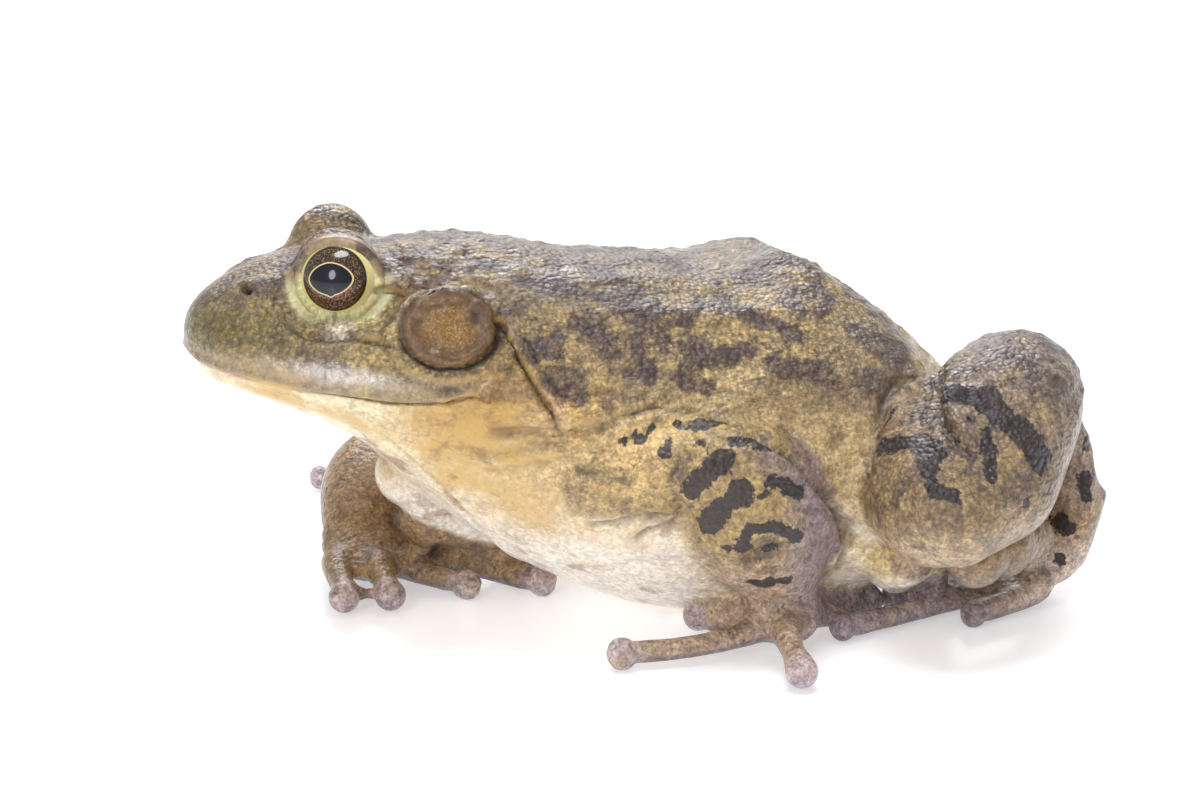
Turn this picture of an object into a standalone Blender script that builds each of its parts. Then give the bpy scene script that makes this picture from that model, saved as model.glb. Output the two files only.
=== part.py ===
"""A still, life-size American bullfrog, resting on the floor with its belly, fingers and toes.

+Z is up, the head points towards -X and the frog's left side is towards -Y. Sizes are in millimetres
and become metres where a mesh is made. The trunk and the head are lofted, limbs and digits are tubes,
and each piece is cut clear of the neighbours that press against it.
"""

import math

import bmesh
import bpy
from mathutils import Matrix, Vector

MM = 0.001
GAP = 0.35                # clearance between two neighbouring pieces
NAME = "bullfrog"

# ---- driving sizes of the body ----
HEAD_LENGTH = 51.0        # from the jaw corners to the snout
HEAD_YAW = math.radians(16.0)          # the head turns towards the frog's right
JAW_CORNERS = Vector((-27.0, 2.0, 48.0))   # midpoint between the two jaw corners
EYE_RADIUS = 7.0
LID_RADIUS = 8.6
EYE_FORWARD, EYE_SIDE, EYE_UP = 23.6, 12.6, 20.6
EYE_AXIS = Vector((0.26, 0.94, 0.20)).normalized()   # forward, side, up
IRIS_RADIUS = 6.0
DRUM_FORWARD, DRUM_SIDE, DRUM_UP = 4.4, 24.2, 12.8
DRUM_LONG, DRUM_TALL, DRUM_DEPTH = 8.0, 6.8, 3.0
MOUTH_FRONT_RISE = 2.6    # the mouth line's height at the snout over its height at the corners

# ---- stations of the trunk: x, half width, widest level, top, bottom ----
TRUNK = (
    (71.5, 13.0, 30.0, 38.5, 19.0),
    (64.0, 23.0, 31.0, 44.5, 11.0),
    (57.0, 33.0, 30.5, 51.0, 5.0),
    (49.0, 42.5, 29.5, 57.0, 0.8),
    (39.0, 44.5, 28.5, 61.5, -1.8),
    (27.0, 42.5, 29.0, 63.5, -2.2),
    (14.0, 41.5, 29.5, 65.5, -2.0),
    (2.0, 39.5, 31.0, 67.6, 0.6),
    (-8.0, 37.0, 34.0, 68.8, 4.8),
)
TRUNK_Y = -2.0            # the trunk's midline, which the neck leads over to the head
TRUNK_TAIL = (75.5, TRUNK_Y, 29.0)
HUMP_X, HUMP_Y, HUMP_RISE = 34.5, 11.5, 4.4       # the two humps where the hips join the spine
HUMP_LONG, HUMP_WIDE = 10.0, 7.5

# ---- stations of the head and throat: forward, half width, widest level, top, chin or chest ----
HEAD = (
    (-9.0, 32.5, -4.0, 23.4, -37.0),
    (0.0, 29.4, -2.0, 24.3, -30.5),
    (8.0, 28.4, 1.5, 24.6, -24.0),
    (15.0, 27.6, 3.5, 23.6, -17.0),
    (22.0, 26.4, 4.5, 23.2, -10.4),
    (30.0, 23.6, 5.0, 22.6, -6.8),
    (38.0, 19.4, 5.2, 20.6, -3.8),
    (44.0, 14.9, 5.4, 17.8, -1.6),
    (48.0, 10.2, 6.2, 14.8, 0.6),
    (50.2, 5.8, 7.2, 11.8, 3.4),
)
HEAD_SNOUT = (51.2, 8.2)
BODY_SIDES = 26
BODY_STEP = 6.2
TRUNK_POWER, HEAD_POWER = 2.2, 2.0       # how square the cross-sections are
NECK_CUT = -9.0           # where the head is parted from the trunk
THROAT_CUT = -13.0        # how far below the jaw corners the head reaches

# ---- limbs: x, y, z, radius across, radius along the local up ----
LIMB_STEP, DIGIT_STEP = 8.0, 6.0
ARM_SIDES, LEG_SIDES, FLAT_SIDES, DIGIT_SIDES = 10, 12, 10, 8
WEB_LOW, WEB_TOP = 0.6, 1.7              # the webs of the hind feet lie just above the floor
WEB_REACH, WEB_SAG = 0.7, 0.34          # how far along the toes they reach, and dip between them
LEFT_ARM = {
    "upper_arm": ((-15, -29, 34, 8.5, 8), (-5, -36, 36, 8.5, 8), (7, -41, 36, 10.5, 9)),
    "forearm": ((9.5, -41, 34, 11.5, 11), (12, -41, 28.5, 13.2, 12.8), (15.5, -39.5, 20.5, 12, 11.6),
                (19, -38.5, 13.5, 9.2, 9), (21.5, -37.5, 9.6, 5.8, 5.8)),
    "palm": ((21.5, -38, 8.2, 5.4, 4.6), (18.5, -41.5, 5.4, 7.0, 4.2)),
}
RIGHT_ARM = {
    "upper_arm": ((-15, 24, 32, 9, 9), (-19, 38, 23, 9, 9), (-24, 50, 16, 9, 9)),
    "forearm": ((-25, 53, 12.5, 8.5, 8.5), (-29, 47, 13.5, 10.6, 10.4), (-33.5, 39, 11.6, 9.8, 9.2),
                (-37, 32, 9.2, 8.2, 6.0)),
    "palm": ((-37.5, 30, 7.5, 8.5, 4.8), (-37.5, 24.5, 5.8, 10.5, 4.4)),
}
LEFT_LEG = {
    "thigh": ((60, -16, 30, 12, 13), (51.5, -33, 31, 13.5, 14.5), (44.5, -48, 30, 13.5, 14.5),
              (40.5, -57, 28.5, 12, 12.5)),
    "shank": ((41, -59, 28, 11.5, 11.5), (50, -54, 34, 13, 13), (60, -47, 41, 14.8, 14.8),
              (69, -38, 42.5, 12, 12), (77, -28, 39.5, 6.5, 6.5)),
    "tarsus": ((80, -25, 37.5, 6.0, 6.0), (85, -28.5, 28, 6.0, 6.0), (86, -32, 18, 6.2, 6.2),
               (80.5, -36, 9, 5.8, 5.6)),
    "sole": ((78, -36.5, 6.8, 6.0, 4.4), (68, -37, 4.6, 7.5, 3.4)),
}
RIGHT_LEG = {
    "thigh": ((59, 12, 31, 13, 14), (44, 30, 31, 15.5, 15.5), (28, 48, 29, 15, 15),
              (20, 56, 27, 12.5, 12.5)),
    "shank": ((20, 58, 26, 12, 12), (34, 56, 27, 14, 14), (48, 53, 25, 13, 13),
              (66, 48, 20, 9, 9), (77, 45, 16, 6.4, 6.4)),
    "tarsus": ((79, 46, 14, 5.8, 5.8), (68, 55, 9.5, 5.8, 5.6), (56, 62, 7.5, 5.8, 5.4),
               (44, 67, 6.8, 5.6, 5.2)),
    "sole": ((42, 67.5, 5.6, 6.0, 4.2), (29, 70, 4.4, 7.5, 3.4)),
}
# ---- digits: points along the bones, then the radii at the root, the waist and the bulb ----
LEFT_FINGERS = (
    (((15, -37.5, 5), (11, -33, 4), (8, -29, 3.2)), (3.6, 3.0, 3.0)),
    (((13, -42, 5), (4, -43, 3.6), (-6, -41.5, 3), (-12.5, -40, 3)), (3.4, 2.3, 2.9)),
    (((16, -46, 6), (13.5, -53, 5), (11.5, -61, 3.6)), (3.6, 2.4, 3.7)),
    (((24, -40, 5), (32, -36, 3.6), (40, -33, 2.8)), (3.4, 2.4, 2.7)),
)
RIGHT_FINGERS = (
    (((-29, 25, 5.5), (-20, 15.5, 4), (-11.5, 4, 3.0)), (3.8, 2.8, 3.0)),
    (((-33, 17, 5), (-30, 11.5, 4), (-25, 7.5, 3)), (3.4, 2.5, 2.3)),
    (((-39, 17, 6), (-40, 11.5, 5), (-40.6, 6.6, 3.8)), (3.8, 2.6, 3.7)),
    (((-46, 21, 6), (-47.6, 14.5, 5), (-48.4, 9, 3.8)), (3.6, 2.6, 3.6)),
)
LEFT_TOES = (
    (((76, -33, 3.2), (69.5, -28.5, 2.9), (63, -26, 2.6)), (2.6, 2.0, 2.1)),
    (((70.5, -33, 3.4), (64, -30, 3), (57, -27.5, 2.6)), (2.7, 2.1, 2.3)),
    (((67, -34, 3.6), (57, -33, 3), (47, -32, 2.6)), (3.0, 2.2, 2.5)),
    (((64, -38, 4), (53, -39.5, 3.2), (41, -41.5, 2.8), (30.5, -43, 2.8)), (3.2, 2.3, 2.8)),
    (((72, -41.5, 4), (64, -44.5, 3.2), (56, -46, 2.8)), (3.4, 2.6, 2.8)),
)
RIGHT_TOES = (
    (((35, 65, 3.6), (30, 61, 3), (25, 58.5, 2.6)), (2.8, 2.0, 2.2)),
    (((31, 66, 3.6), (23, 63.5, 3), (14, 62, 2.6)), (2.8, 2.1, 2.3)),
    (((26, 69, 3.6), (13, 70, 3), (0, 71, 2.6)), (3.0, 2.2, 2.5)),
    (((23, 73, 4), (7, 78, 3.2), (-10, 82, 2.8), (-26, 85, 2.8)), (3.2, 2.3, 2.8)),
    (((27, 75, 4), (16, 83, 3.2), (5, 89, 2.8)), (3.2, 2.4, 2.6)),
)

COLOURS = {
    "back": (0.33, 0.29, 0.12), "head": (0.36, 0.34, 0.13), "jaw": (0.80, 0.74, 0.52),
    "eye": (0.03, 0.02, 0.02), "drum": (0.45, 0.30, 0.10), "limb": (0.48, 0.34, 0.14),
    "digit": (0.40, 0.32, 0.24),
}


# ---- helpers ----
def clear_scene():
    for old in list(bpy.data.objects):
        bpy.data.objects.remove(old, do_unlink=True)


def new_collection(name):
    made = bpy.data.collections.new(name)
    bpy.context.scene.collection.children.link(made)
    return made


def material(name, colour, roughness):
    made = bpy.data.materials.new(name)
    made.use_nodes = True
    shader = made.node_tree.nodes["Principled BSDF"]
    shader.inputs["Base Color"].default_value = (*colour, 1.0)
    shader.inputs["Roughness"].default_value = roughness
    shader.inputs["Metallic"].default_value = 0.0
    made.diffuse_color = (*colour, 1.0)
    return made


def smooth_row(rows, spacing):
    """Rows of numbers, the first three a place, resampled along a Catmull-Rom curve."""
    ends = [rows[0]] + list(rows) + [rows[-1]]
    made = []
    for a, b, c, d in zip(ends, ends[1:], ends[2:], ends[3:]):
        steps = max(1, round(math.dist(b[:3], c[:3]) / spacing))
        for step in range(steps):
            t = step / steps
            made.append([
                0.5 * (2 * q + (r - p) * t + (2 * p - 5 * q + 4 * r - s) * t * t
                       + (3 * q - p - 3 * r + s) * t ** 3)
                for p, q, r, s in zip(a, b, c, d)
            ])
    made.append([float(value) for value in rows[-1]])
    return made


def body_from_rings(name, rings, first_pole, last_pole):
    """A closed mesh through rings of equal count, drawn to a point at both ends."""
    bm = bmesh.new()
    loops = [[bm.verts.new(Vector(p) * MM) for p in ring] for ring in rings]
    for low, high in zip(loops, loops[1:]):
        for i, here in enumerate(low):
            bm.faces.new((here, low[i - 1], high[i - 1], high[i]))
    for pole, loop in ((first_pole, loops[0]), (last_pole, loops[-1])):
        tip = bm.verts.new(Vector(pole) * MM)
        for i, here in enumerate(loop):
            bm.faces.new((tip, loop[i - 1], here))
    bmesh.ops.recalc_face_normals(bm, faces=bm.faces)
    mesh = bpy.data.meshes.new(name)
    bm.to_mesh(mesh)
    bm.free()
    mesh.shade_smooth()
    made = bpy.data.objects.new(name, mesh)
    parts.objects.link(made)
    return made


def superellipse(angle, power):
    side, rise = math.cos(angle), math.sin(angle)
    return (math.copysign(abs(side) ** (2 / power), side), math.copysign(abs(rise) ** (2 / power), rise))


def tube(name, stations, sides, spacing, dome_rings=2, dome=0.8):
    """A limb or a digit: oval rings square to a smooth line, with a dome at each end."""
    rows = smooth_row([tuple(map(float, row)) for row in stations], spacing)
    centres = [Vector(row[:3]) for row in rows]
    rings, poles = [], []
    for i, row in enumerate(rows):
        along = (centres[min(i + 1, len(rows) - 1)] - centres[max(i - 1, 0)]).normalized()
        across = along.cross(Vector((0, 0, 1)))
        across = across.normalized() if across.length > 0.3 else along.cross(Vector((0, -1, 0))).normalized()
        upward = across.cross(along)
        ends = ((-1, 0), (1, len(rows) - 1))
        shells = [(0.0, 1.0)]
        for direction, at in ends:
            if i == at:
                bulge = [(direction * dome * math.sin(k / (dome_rings + 1) * math.pi / 2),
                          math.cos(k / (dome_rings + 1) * math.pi / 2)) for k in range(1, dome_rings + 1)]
                shells = bulge[::-1] + shells if direction < 0 else shells + bulge
                poles.append(centres[i] + along * direction * dome * row[3])
        for push, shrink in shells:
            rings.append([
                centres[i] + along * push * row[3]
                + across * row[3] * shrink * math.cos(2 * math.pi * k / sides)
                + upward * row[4] * shrink * math.sin(2 * math.pi * k / sides)
                for k in range(sides)
            ])
    return body_from_rings(name, rings, poles[0], poles[1])


def head_point(forward, side, up):
    """A place given from the jaw corners: forward, to the frog's left, and up."""
    ahead = Vector((-math.cos(HEAD_YAW), math.sin(HEAD_YAW), 0))
    left = Vector((-math.sin(HEAD_YAW), -math.cos(HEAD_YAW), 0))
    return JAW_CORNERS + ahead * forward + left * side + Vector((0, 0, up))


def head_direction(forward, side, up):
    return (head_point(forward, side, up) - JAW_CORNERS).normalized()


def keep_clearance(piece):
    """A hidden copy of a piece still uncut, swollen by the gap, that its neighbours are cut with."""
    mesh = piece.data.copy()
    bm = bmesh.new()
    bm.from_mesh(mesh)
    bm.normal_update()
    moves = [vert.normal * GAP * MM for vert in bm.verts]
    for vert, move in zip(bm.verts, moves):
        vert.co += move
    bm.to_mesh(mesh)
    bm.free()
    clearance[piece.name] = hide(bpy.data.objects.new(f"clear_of_{piece.name}", mesh))


def hide(cutter):
    cutters.objects.link(cutter)
    cutter.hide_render = True
    cutter.display_type = "WIRE"
    return cutter


def box_cutter(name, low, high, place=Matrix()):
    bm = bmesh.new()
    bmesh.ops.create_cube(bm, size=1.0)
    middle = [(a + b) / 2 for a, b in zip(low, high)]
    size = [b - a for a, b in zip(low, high)]
    bmesh.ops.transform(bm, verts=bm.verts, matrix=Matrix.Diagonal((*size, 1)))
    bmesh.ops.transform(bm, verts=bm.verts, matrix=Matrix.Translation(middle))
    bmesh.ops.transform(bm, verts=bm.verts, matrix=place)
    bmesh.ops.scale(bm, verts=bm.verts, vec=(MM, MM, MM))
    bmesh.ops.recalc_face_normals(bm, faces=bm.faces)
    mesh = bpy.data.meshes.new(name)
    bm.to_mesh(mesh)
    bm.free()
    return hide(bpy.data.objects.new(name, mesh))


def boolean(piece, cutter, operation="DIFFERENCE"):
    """Cut or join at once, so the next piece can be cut with the result."""
    step = piece.modifiers.new(operation.lower(), "BOOLEAN")
    step.operation = operation
    step.object = cutter
    step.solver = "EXACT"
    graph = bpy.context.evaluated_depsgraph_get()
    mesh = bpy.data.meshes.new_from_object(piece.evaluated_get(graph))
    piece.modifiers.remove(step)
    piece.data = mesh


def tidy(piece):
    """Merge near points and drop slivers, then keep only the largest closed body."""
    bm = bmesh.new()
    bm.from_mesh(piece.data)
    bmesh.ops.remove_doubles(bm, verts=bm.verts, dist=0.00001)
    bmesh.ops.dissolve_degenerate(bm, edges=bm.edges, dist=0.00001)
    keep_largest(bm)
    bm.to_mesh(piece.data)
    bm.free()


def keep_largest(bm):
    islands, seen = [], set()
    for face in bm.faces:
        if face in seen:
            continue
        island, queue = [], [face]
        seen.add(face)
        while queue:
            here = queue.pop()
            island.append(here)
            for edge in here.edges:
                for other in edge.link_faces:
                    if other not in seen:
                        seen.add(other)
                        queue.append(other)
        islands.append(island)
    islands.sort(key=lambda island: sum(face.calc_area() for face in island))
    loose = [face for island in islands[:-1] for face in island]
    if loose:
        bmesh.ops.delete(bm, geom=loose, context="FACES")


def fit_against(piece, *neighbours):
    for neighbour in neighbours:
        boolean(piece, clearance[neighbour.name])


def set_on_floor(piece):
    """Everything below the floor is flattened onto it, which gives the piece its resting flat."""
    for vert in piece.data.vertices:
        vert.co.z = max(vert.co.z, 0.0)


def paint(piece, slot, roughness=0.35):
    piece.data.materials.clear()
    piece.data.materials.append(material(f"{piece.name}_skin", COLOURS[slot], roughness))


# ---- trunk and head ----
def body_ring(x, y, yaw, half_width, level, top, bottom, power):
    """An upright cross-section that faces along the spine, with the hip humps on its back."""
    across = Vector((-math.sin(yaw), -math.cos(yaw), 0))
    ring = []
    for k in range(BODY_SIDES):
        side, rise = superellipse(2 * math.pi * k / BODY_SIDES, power)
        z = level + rise * (top - level if rise > 0 else level - bottom)
        point = Vector((x, y, z)) + across * half_width * side
        if rise > 0:
            for hip in (-HUMP_Y, HUMP_Y):
                away = ((x - HUMP_X) / HUMP_LONG) ** 2 + ((point.y - TRUNK_Y - hip) / HUMP_WIDE) ** 2
                point.z += HUMP_RISE * math.exp(-away)
        ring.append(point)
    return ring


def make_body():
    """Trunk, neck and head in one loft, so that their surfaces meet without a step."""
    rows = [(x, TRUNK_Y, 0.0, 0.0, width, level, top, bottom, TRUNK_POWER)
            for x, width, level, top, bottom in TRUNK]
    for forward, width, level, top, chin in HEAD:
        middle = head_point(forward, 0, 0)
        rows.append((middle.x, middle.y, 0.0, HEAD_YAW, width, *(middle.z + up for up in (level, top, chin)),
                     HEAD_POWER))
    rings = [body_ring(row[0], row[1], *row[3:]) for row in smooth_row(rows, BODY_STEP)]
    body = body_from_rings("trunk", rings, TRUNK_TAIL, head_point(HEAD_SNOUT[0], 0, HEAD_SNOUT[1]))
    set_on_floor(body)
    keep_clearance(body)
    return body


def ball(name, centre, radius, stretch=(1, 1, 1), turn=Matrix(), segments=16, rings=10):
    bm = bmesh.new()
    bmesh.ops.create_uvsphere(bm, u_segments=segments, v_segments=rings, radius=radius * MM)
    bmesh.ops.transform(bm, verts=bm.verts, matrix=turn @ Matrix.Diagonal((*stretch, 1)))
    bmesh.ops.translate(bm, verts=bm.verts, vec=centre * MM)
    mesh = bpy.data.meshes.new(name)
    bm.to_mesh(mesh)
    bm.free()
    mesh.shade_smooth()
    return bpy.data.objects.new(name, mesh)


def cone_cutter(name, start, direction, radius_near, radius_far, length, sides=16):
    bm = bmesh.new()
    bmesh.ops.create_cone(bm, cap_ends=True, segments=sides, radius1=radius_near * MM,
                          radius2=radius_far * MM, depth=length * MM)
    turn = direction.to_track_quat("Z", "Y").to_matrix().to_4x4()
    bmesh.ops.transform(bm, verts=bm.verts, matrix=turn)
    bmesh.ops.translate(bm, verts=bm.verts, vec=(start + direction * length / 2) * MM)
    mesh = bpy.data.meshes.new(name)
    bm.to_mesh(mesh)
    bm.free()
    return hide(bpy.data.objects.new(name, mesh))


def make_eye(side, sign):
    centre = head_point(EYE_FORWARD, sign * EYE_SIDE, EYE_UP)
    look = head_direction(EYE_AXIS.x, sign * EYE_AXIS.y, EYE_AXIS.z)
    turn = look.to_track_quat("Z", "Y").to_matrix().to_4x4()
    eye = ball(f"eye_{side}", centre, EYE_RADIUS, turn=turn, segments=14, rings=8)
    parts.objects.link(eye)
    keep_clearance(eye)
    return eye, centre, look


def make_eardrum(side, sign):
    centre = head_point(DRUM_FORWARD, sign * DRUM_SIDE, DRUM_UP)
    out = head_direction(-0.10, sign * 0.90, 0.36)
    turn = out.to_track_quat("Z", "X").to_matrix().to_4x4()
    bm = bmesh.new()
    bmesh.ops.create_cone(bm, cap_ends=True, segments=16, radius1=MM, radius2=MM * 0.93, depth=MM)
    ahead = head_direction(1, 0, 0)
    across = (ahead - out * ahead.dot(out)).normalized()
    rise = out.cross(across)
    frame = Matrix((across * DRUM_LONG, rise * DRUM_TALL, out * DRUM_DEPTH)).transposed().to_4x4()
    bmesh.ops.transform(bm, verts=bm.verts, matrix=frame)
    bmesh.ops.translate(bm, verts=bm.verts, vec=centre * MM)
    bmesh.ops.recalc_face_normals(bm, faces=bm.faces)
    mesh = bpy.data.meshes.new(f"eardrum_{side}")
    bm.to_mesh(mesh)
    bm.free()
    drum = bpy.data.objects.new(f"eardrum_{side}", mesh)
    parts.objects.link(drum)
    keep_clearance(drum)
    return drum


def head_box(name, low, high, tilt=0.0):
    """A box set square to the head, its corners given as forward, side and up."""
    turn = Matrix.Rotation(math.pi - HEAD_YAW, 4, "Z") @ Matrix.Rotation(-tilt, 4, "Y")
    return box_cutter(name, low, high, Matrix.Translation(JAW_CORNERS) @ turn)


def copy_of(piece, name):
    made = piece.copy()
    made.data = piece.data.copy()
    made.name = name
    parts.objects.link(made)
    return made


# ---- limbs ----
def make_limb(side, limb, root, sides):
    """The pieces of one limb from the trunk outwards, each cut clear of those before it."""
    made = []
    for bone, stations in limb.items():
        flat = bone in ("palm", "sole")
        piece = tube(f"{bone}_{side}", stations, FLAT_SIDES if flat else sides, LIMB_STEP)
        set_on_floor(piece)
        keep_clearance(piece)
        fit_against(piece, root, *made[-2:])
        made.append(piece)
    return made


def make_digits(side, kind, digits, palm, last_bone, trunk):
    made = []
    for number, (points, (root, waist, bulb)) in enumerate(digits, start=1):
        last = len(points) - 1
        stations = []
        for at, point in enumerate(points):
            radius = root if at == 0 else (bulb if at == last else waist)
            stations.append((*point, radius, radius))
        neck = [0.35 * a + 0.65 * b for a, b in zip(points[-2], points[-1])]
        stations.insert(last, (*neck, waist, waist))
        digit = tube(f"{kind}_{number}_{side}", stations, DIGIT_SIDES, DIGIT_STEP, dome_rings=1)
        set_on_floor(digit)
        keep_clearance(digit)
        fit_against(digit, palm, last_bone, trunk, *made[-1:])
        made.append(digit)
    return made


def along_points(points, share):
    """The place that lies this share of the way along a line of points."""
    lengths = [math.dist(a, b) for a, b in zip(points, points[1:])]
    left = share * sum(lengths)
    for a, b, length in zip(points, points[1:], lengths):
        if left <= length:
            return Vector(a).lerp(Vector(b), left / length)
        left -= length
    return Vector(points[-1])


def make_webs(side, toes, sole, digits):
    """One thin fan between the toes, cut clear of them and joined to the sole."""
    lines = [points for points, _ in toes]
    root = sum((Vector(line[0]) for line in lines), Vector()) / len(lines)
    ends = [along_points(line, WEB_REACH) for line in lines]
    outline = [Vector(lines[0][0]), ends[0]]
    for here, there in zip(ends, ends[1:]):
        outline += [here.lerp(there, share).lerp(root, WEB_SAG * dip)
                    for share, dip in ((0.3, 0.9), (0.7, 0.9))] + [there]
    outline.append(Vector(lines[-1][0]))
    bm = bmesh.new()
    low = [bm.verts.new(Vector((place.x, place.y, WEB_LOW)) * MM) for place in outline]
    top = [bm.verts.new(Vector((place.x, place.y, WEB_TOP)) * MM) for place in outline]
    bm.faces.new(low)
    bm.faces.new(top)
    for i, here in enumerate(low):
        bm.faces.new((here, low[i - 1], top[i - 1], top[i]))
    bmesh.ops.triangulate(bm, faces=bm.faces)
    bmesh.ops.recalc_face_normals(bm, faces=bm.faces)
    mesh = bpy.data.meshes.new(f"webs_{side}")
    bm.to_mesh(mesh)
    bm.free()
    webs = hide(bpy.data.objects.new(f"webs_{side}", mesh))
    for digit in digits:
        boolean(webs, clearance[digit.name])
    boolean(sole, webs, "UNION")


def part_body():
    """The whole body cut into trunk, head and lower jaw."""
    trunk = make_body()
    head = copy_of(trunk, "head")
    boolean(trunk, head_box("ahead_of_neck", (NECK_CUT - GAP, -60, THROAT_CUT - GAP), (90, 60, 60)))
    boolean(head, head_box("head_space", (NECK_CUT, -70, THROAT_CUT), (95, 70, 70)), "INTERSECT")
    jaw = copy_of(head, "lower_jaw")
    tilt = math.atan2(MOUTH_FRONT_RISE, HEAD_LENGTH)
    boolean(jaw, head_box("below_mouth", (0, -60, -60), (80, 60, 0), tilt), "INTERSECT")
    boolean(head, head_box("clear_of_jaw", (-GAP, -65, -65), (85, 65, GAP), tilt))
    return trunk, head, jaw


def build():
    trunk, head, jaw = part_body()
    for side, sign in (("left", 1), ("right", -1)):
        eye, centre, look = make_eye(side, sign)
        inward = head_direction(0, -sign, -0.25)
        lid = hide(ball(f"lid_{side}", centre + inward * 1.2, LID_RADIUS, segments=14, rings=8))
        boolean(head, lid, "UNION")
        fit_against(head, eye)
        boolean(head, cone_cutter(f"eye_opening_{side}", centre, look, IRIS_RADIUS * 0.8, IRIS_RADIUS * 1.25, 14))
        drum = make_eardrum(side, sign)
        fit_against(head, drum)
        paint(eye, "eye", 0.08)
        paint(drum, "drum")
    paint(trunk, "back")
    paint(head, "head")
    paint(jaw, "jaw")
    for side, arm, fingers in (("left", LEFT_ARM, LEFT_FINGERS), ("right", RIGHT_ARM, RIGHT_FINGERS)):
        bones = make_limb(side, arm, trunk, ARM_SIDES)
        digits = make_digits(side, "finger", fingers, bones[-1], bones[-2], trunk)
        for piece in bones:
            paint(piece, "limb")
        for piece in digits:
            paint(piece, "digit")
    for side, leg, toes in (("left", LEFT_LEG, LEFT_TOES), ("right", RIGHT_LEG, RIGHT_TOES)):
        bones = make_limb(side, leg, trunk, LEG_SIDES)
        digits = make_digits(side, "toe", toes, bones[-1], bones[-2], trunk)
        make_webs(side, toes, bones[-1], digits)
        for piece in bones:
            paint(piece, "limb")
        for piece in digits:
            paint(piece, "digit")


def tidy_all():
    for piece in parts.objects:
        tidy(piece)


def centre_on_origin():
    """The middle of the box's bottom becomes the origin."""
    corners = [vert.co for piece in parts.objects for vert in piece.data.vertices]
    low = Vector([min(co[axis] for co in corners) for axis in range(3)])
    high = Vector([max(co[axis] for co in corners) for axis in range(3)])
    shift = Matrix.Translation((-(low.x + high.x) / 2, -(low.y + high.y) / 2, -low.z))
    for piece in list(parts.objects) + list(cutters.objects):
        piece.data.transform(shift)


clear_scene()
parts = new_collection(NAME)
cutters = new_collection("cutters")
cutters.hide_render = True
clearance = {}
build()
tidy_all()
centre_on_origin()
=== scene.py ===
# %% [markdown]
# # A life-size bullfrog
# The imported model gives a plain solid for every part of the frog: trunk, head, jaw, limbs, digits and
# eyeballs. This lesson grows one wet, wrinkled skin over all of them, seats the eyes in it, paints both
# with node materials, and sets the frog on a pale floor under soft light. Its place is taken from the
# box of the left eyeball, so if a new pack moves the frog, the skin moves with it.

# %% Load the frame
import math

import bmesh
import bpy
import numpy as np
from mathutils import Matrix, Vector
from mathutils.kdtree import KDTree


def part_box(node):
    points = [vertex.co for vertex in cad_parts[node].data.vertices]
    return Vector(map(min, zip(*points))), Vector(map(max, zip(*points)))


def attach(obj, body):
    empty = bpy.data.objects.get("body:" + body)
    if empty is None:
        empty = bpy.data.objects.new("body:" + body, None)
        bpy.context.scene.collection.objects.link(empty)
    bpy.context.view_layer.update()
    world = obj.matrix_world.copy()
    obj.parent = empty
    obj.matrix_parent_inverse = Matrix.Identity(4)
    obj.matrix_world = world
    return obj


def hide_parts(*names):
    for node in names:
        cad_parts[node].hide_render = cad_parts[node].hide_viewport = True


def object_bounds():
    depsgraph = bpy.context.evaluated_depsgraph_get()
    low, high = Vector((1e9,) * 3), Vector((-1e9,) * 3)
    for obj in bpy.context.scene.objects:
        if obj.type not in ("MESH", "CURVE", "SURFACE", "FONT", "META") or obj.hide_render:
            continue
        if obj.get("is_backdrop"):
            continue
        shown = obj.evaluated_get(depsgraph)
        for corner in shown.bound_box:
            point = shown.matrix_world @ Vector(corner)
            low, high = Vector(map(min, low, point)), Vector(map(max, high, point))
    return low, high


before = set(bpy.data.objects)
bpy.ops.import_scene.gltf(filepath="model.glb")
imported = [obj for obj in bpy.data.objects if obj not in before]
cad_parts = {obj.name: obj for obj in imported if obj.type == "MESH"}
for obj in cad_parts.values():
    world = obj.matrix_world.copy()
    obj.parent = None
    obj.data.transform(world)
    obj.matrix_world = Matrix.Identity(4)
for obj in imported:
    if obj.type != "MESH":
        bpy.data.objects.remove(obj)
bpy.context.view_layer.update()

MM = 0.001

# %% [markdown]
# The head is turned, so its features are easier to place in its own three directions: forward, to the
# frog's left, and up, counted in millimetres from the middle of the jaw. The left eyeball's box tells
# where that middle lies. Lengths stay in millimetres until a mesh is written.

# %% Directions of the head
HEAD_YAW = math.radians(16.0)
AHEAD = np.array([-math.cos(HEAD_YAW), math.sin(HEAD_YAW), 0.0])
LEFTWARD = np.array([-math.sin(HEAD_YAW), -math.cos(HEAD_YAW), 0.0])
UPWARD = np.array([0.0, 0.0, 1.0])
HEAD_AXES = np.array([AHEAD, LEFTWARD, UPWARD])
MIRROR = np.array([1.0, -1.0, 1.0])       # turns a place on the left side into its twin on the right
LEFT_AND_RIGHT = (np.ones(3), MIRROR)
EYE_SOLID = np.array([23.6, 12.6, 20.6])  # the solid eyeball's centre, in the head's directions
EYE = np.array([23.0, 12.6, 19.9])        # the finished eyeball's, set a little deeper
EYE_RADIUS = 7.0


def middle_of(node):
    low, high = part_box(node)
    return np.array((low + high) / 2) / MM


JAW_MIDDLE = middle_of("eye_left") - EYE_SOLID @ HEAD_AXES
BODY_ORIGIN = JAW_MIDDLE - np.array([-27.0, 2.0, 48.0])   # the trunk's own zero, which lies on the floor


def to_head(points):
    """World millimetres to forward, left and up."""
    return (points - JAW_MIDDLE) @ HEAD_AXES.T


def from_head(points):
    return JAW_MIDDLE + np.asarray(points, float) @ HEAD_AXES


print("jaw middle:", JAW_MIDDLE.round(1), "body origin:", BODY_ORIGIN.round(1))

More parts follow.
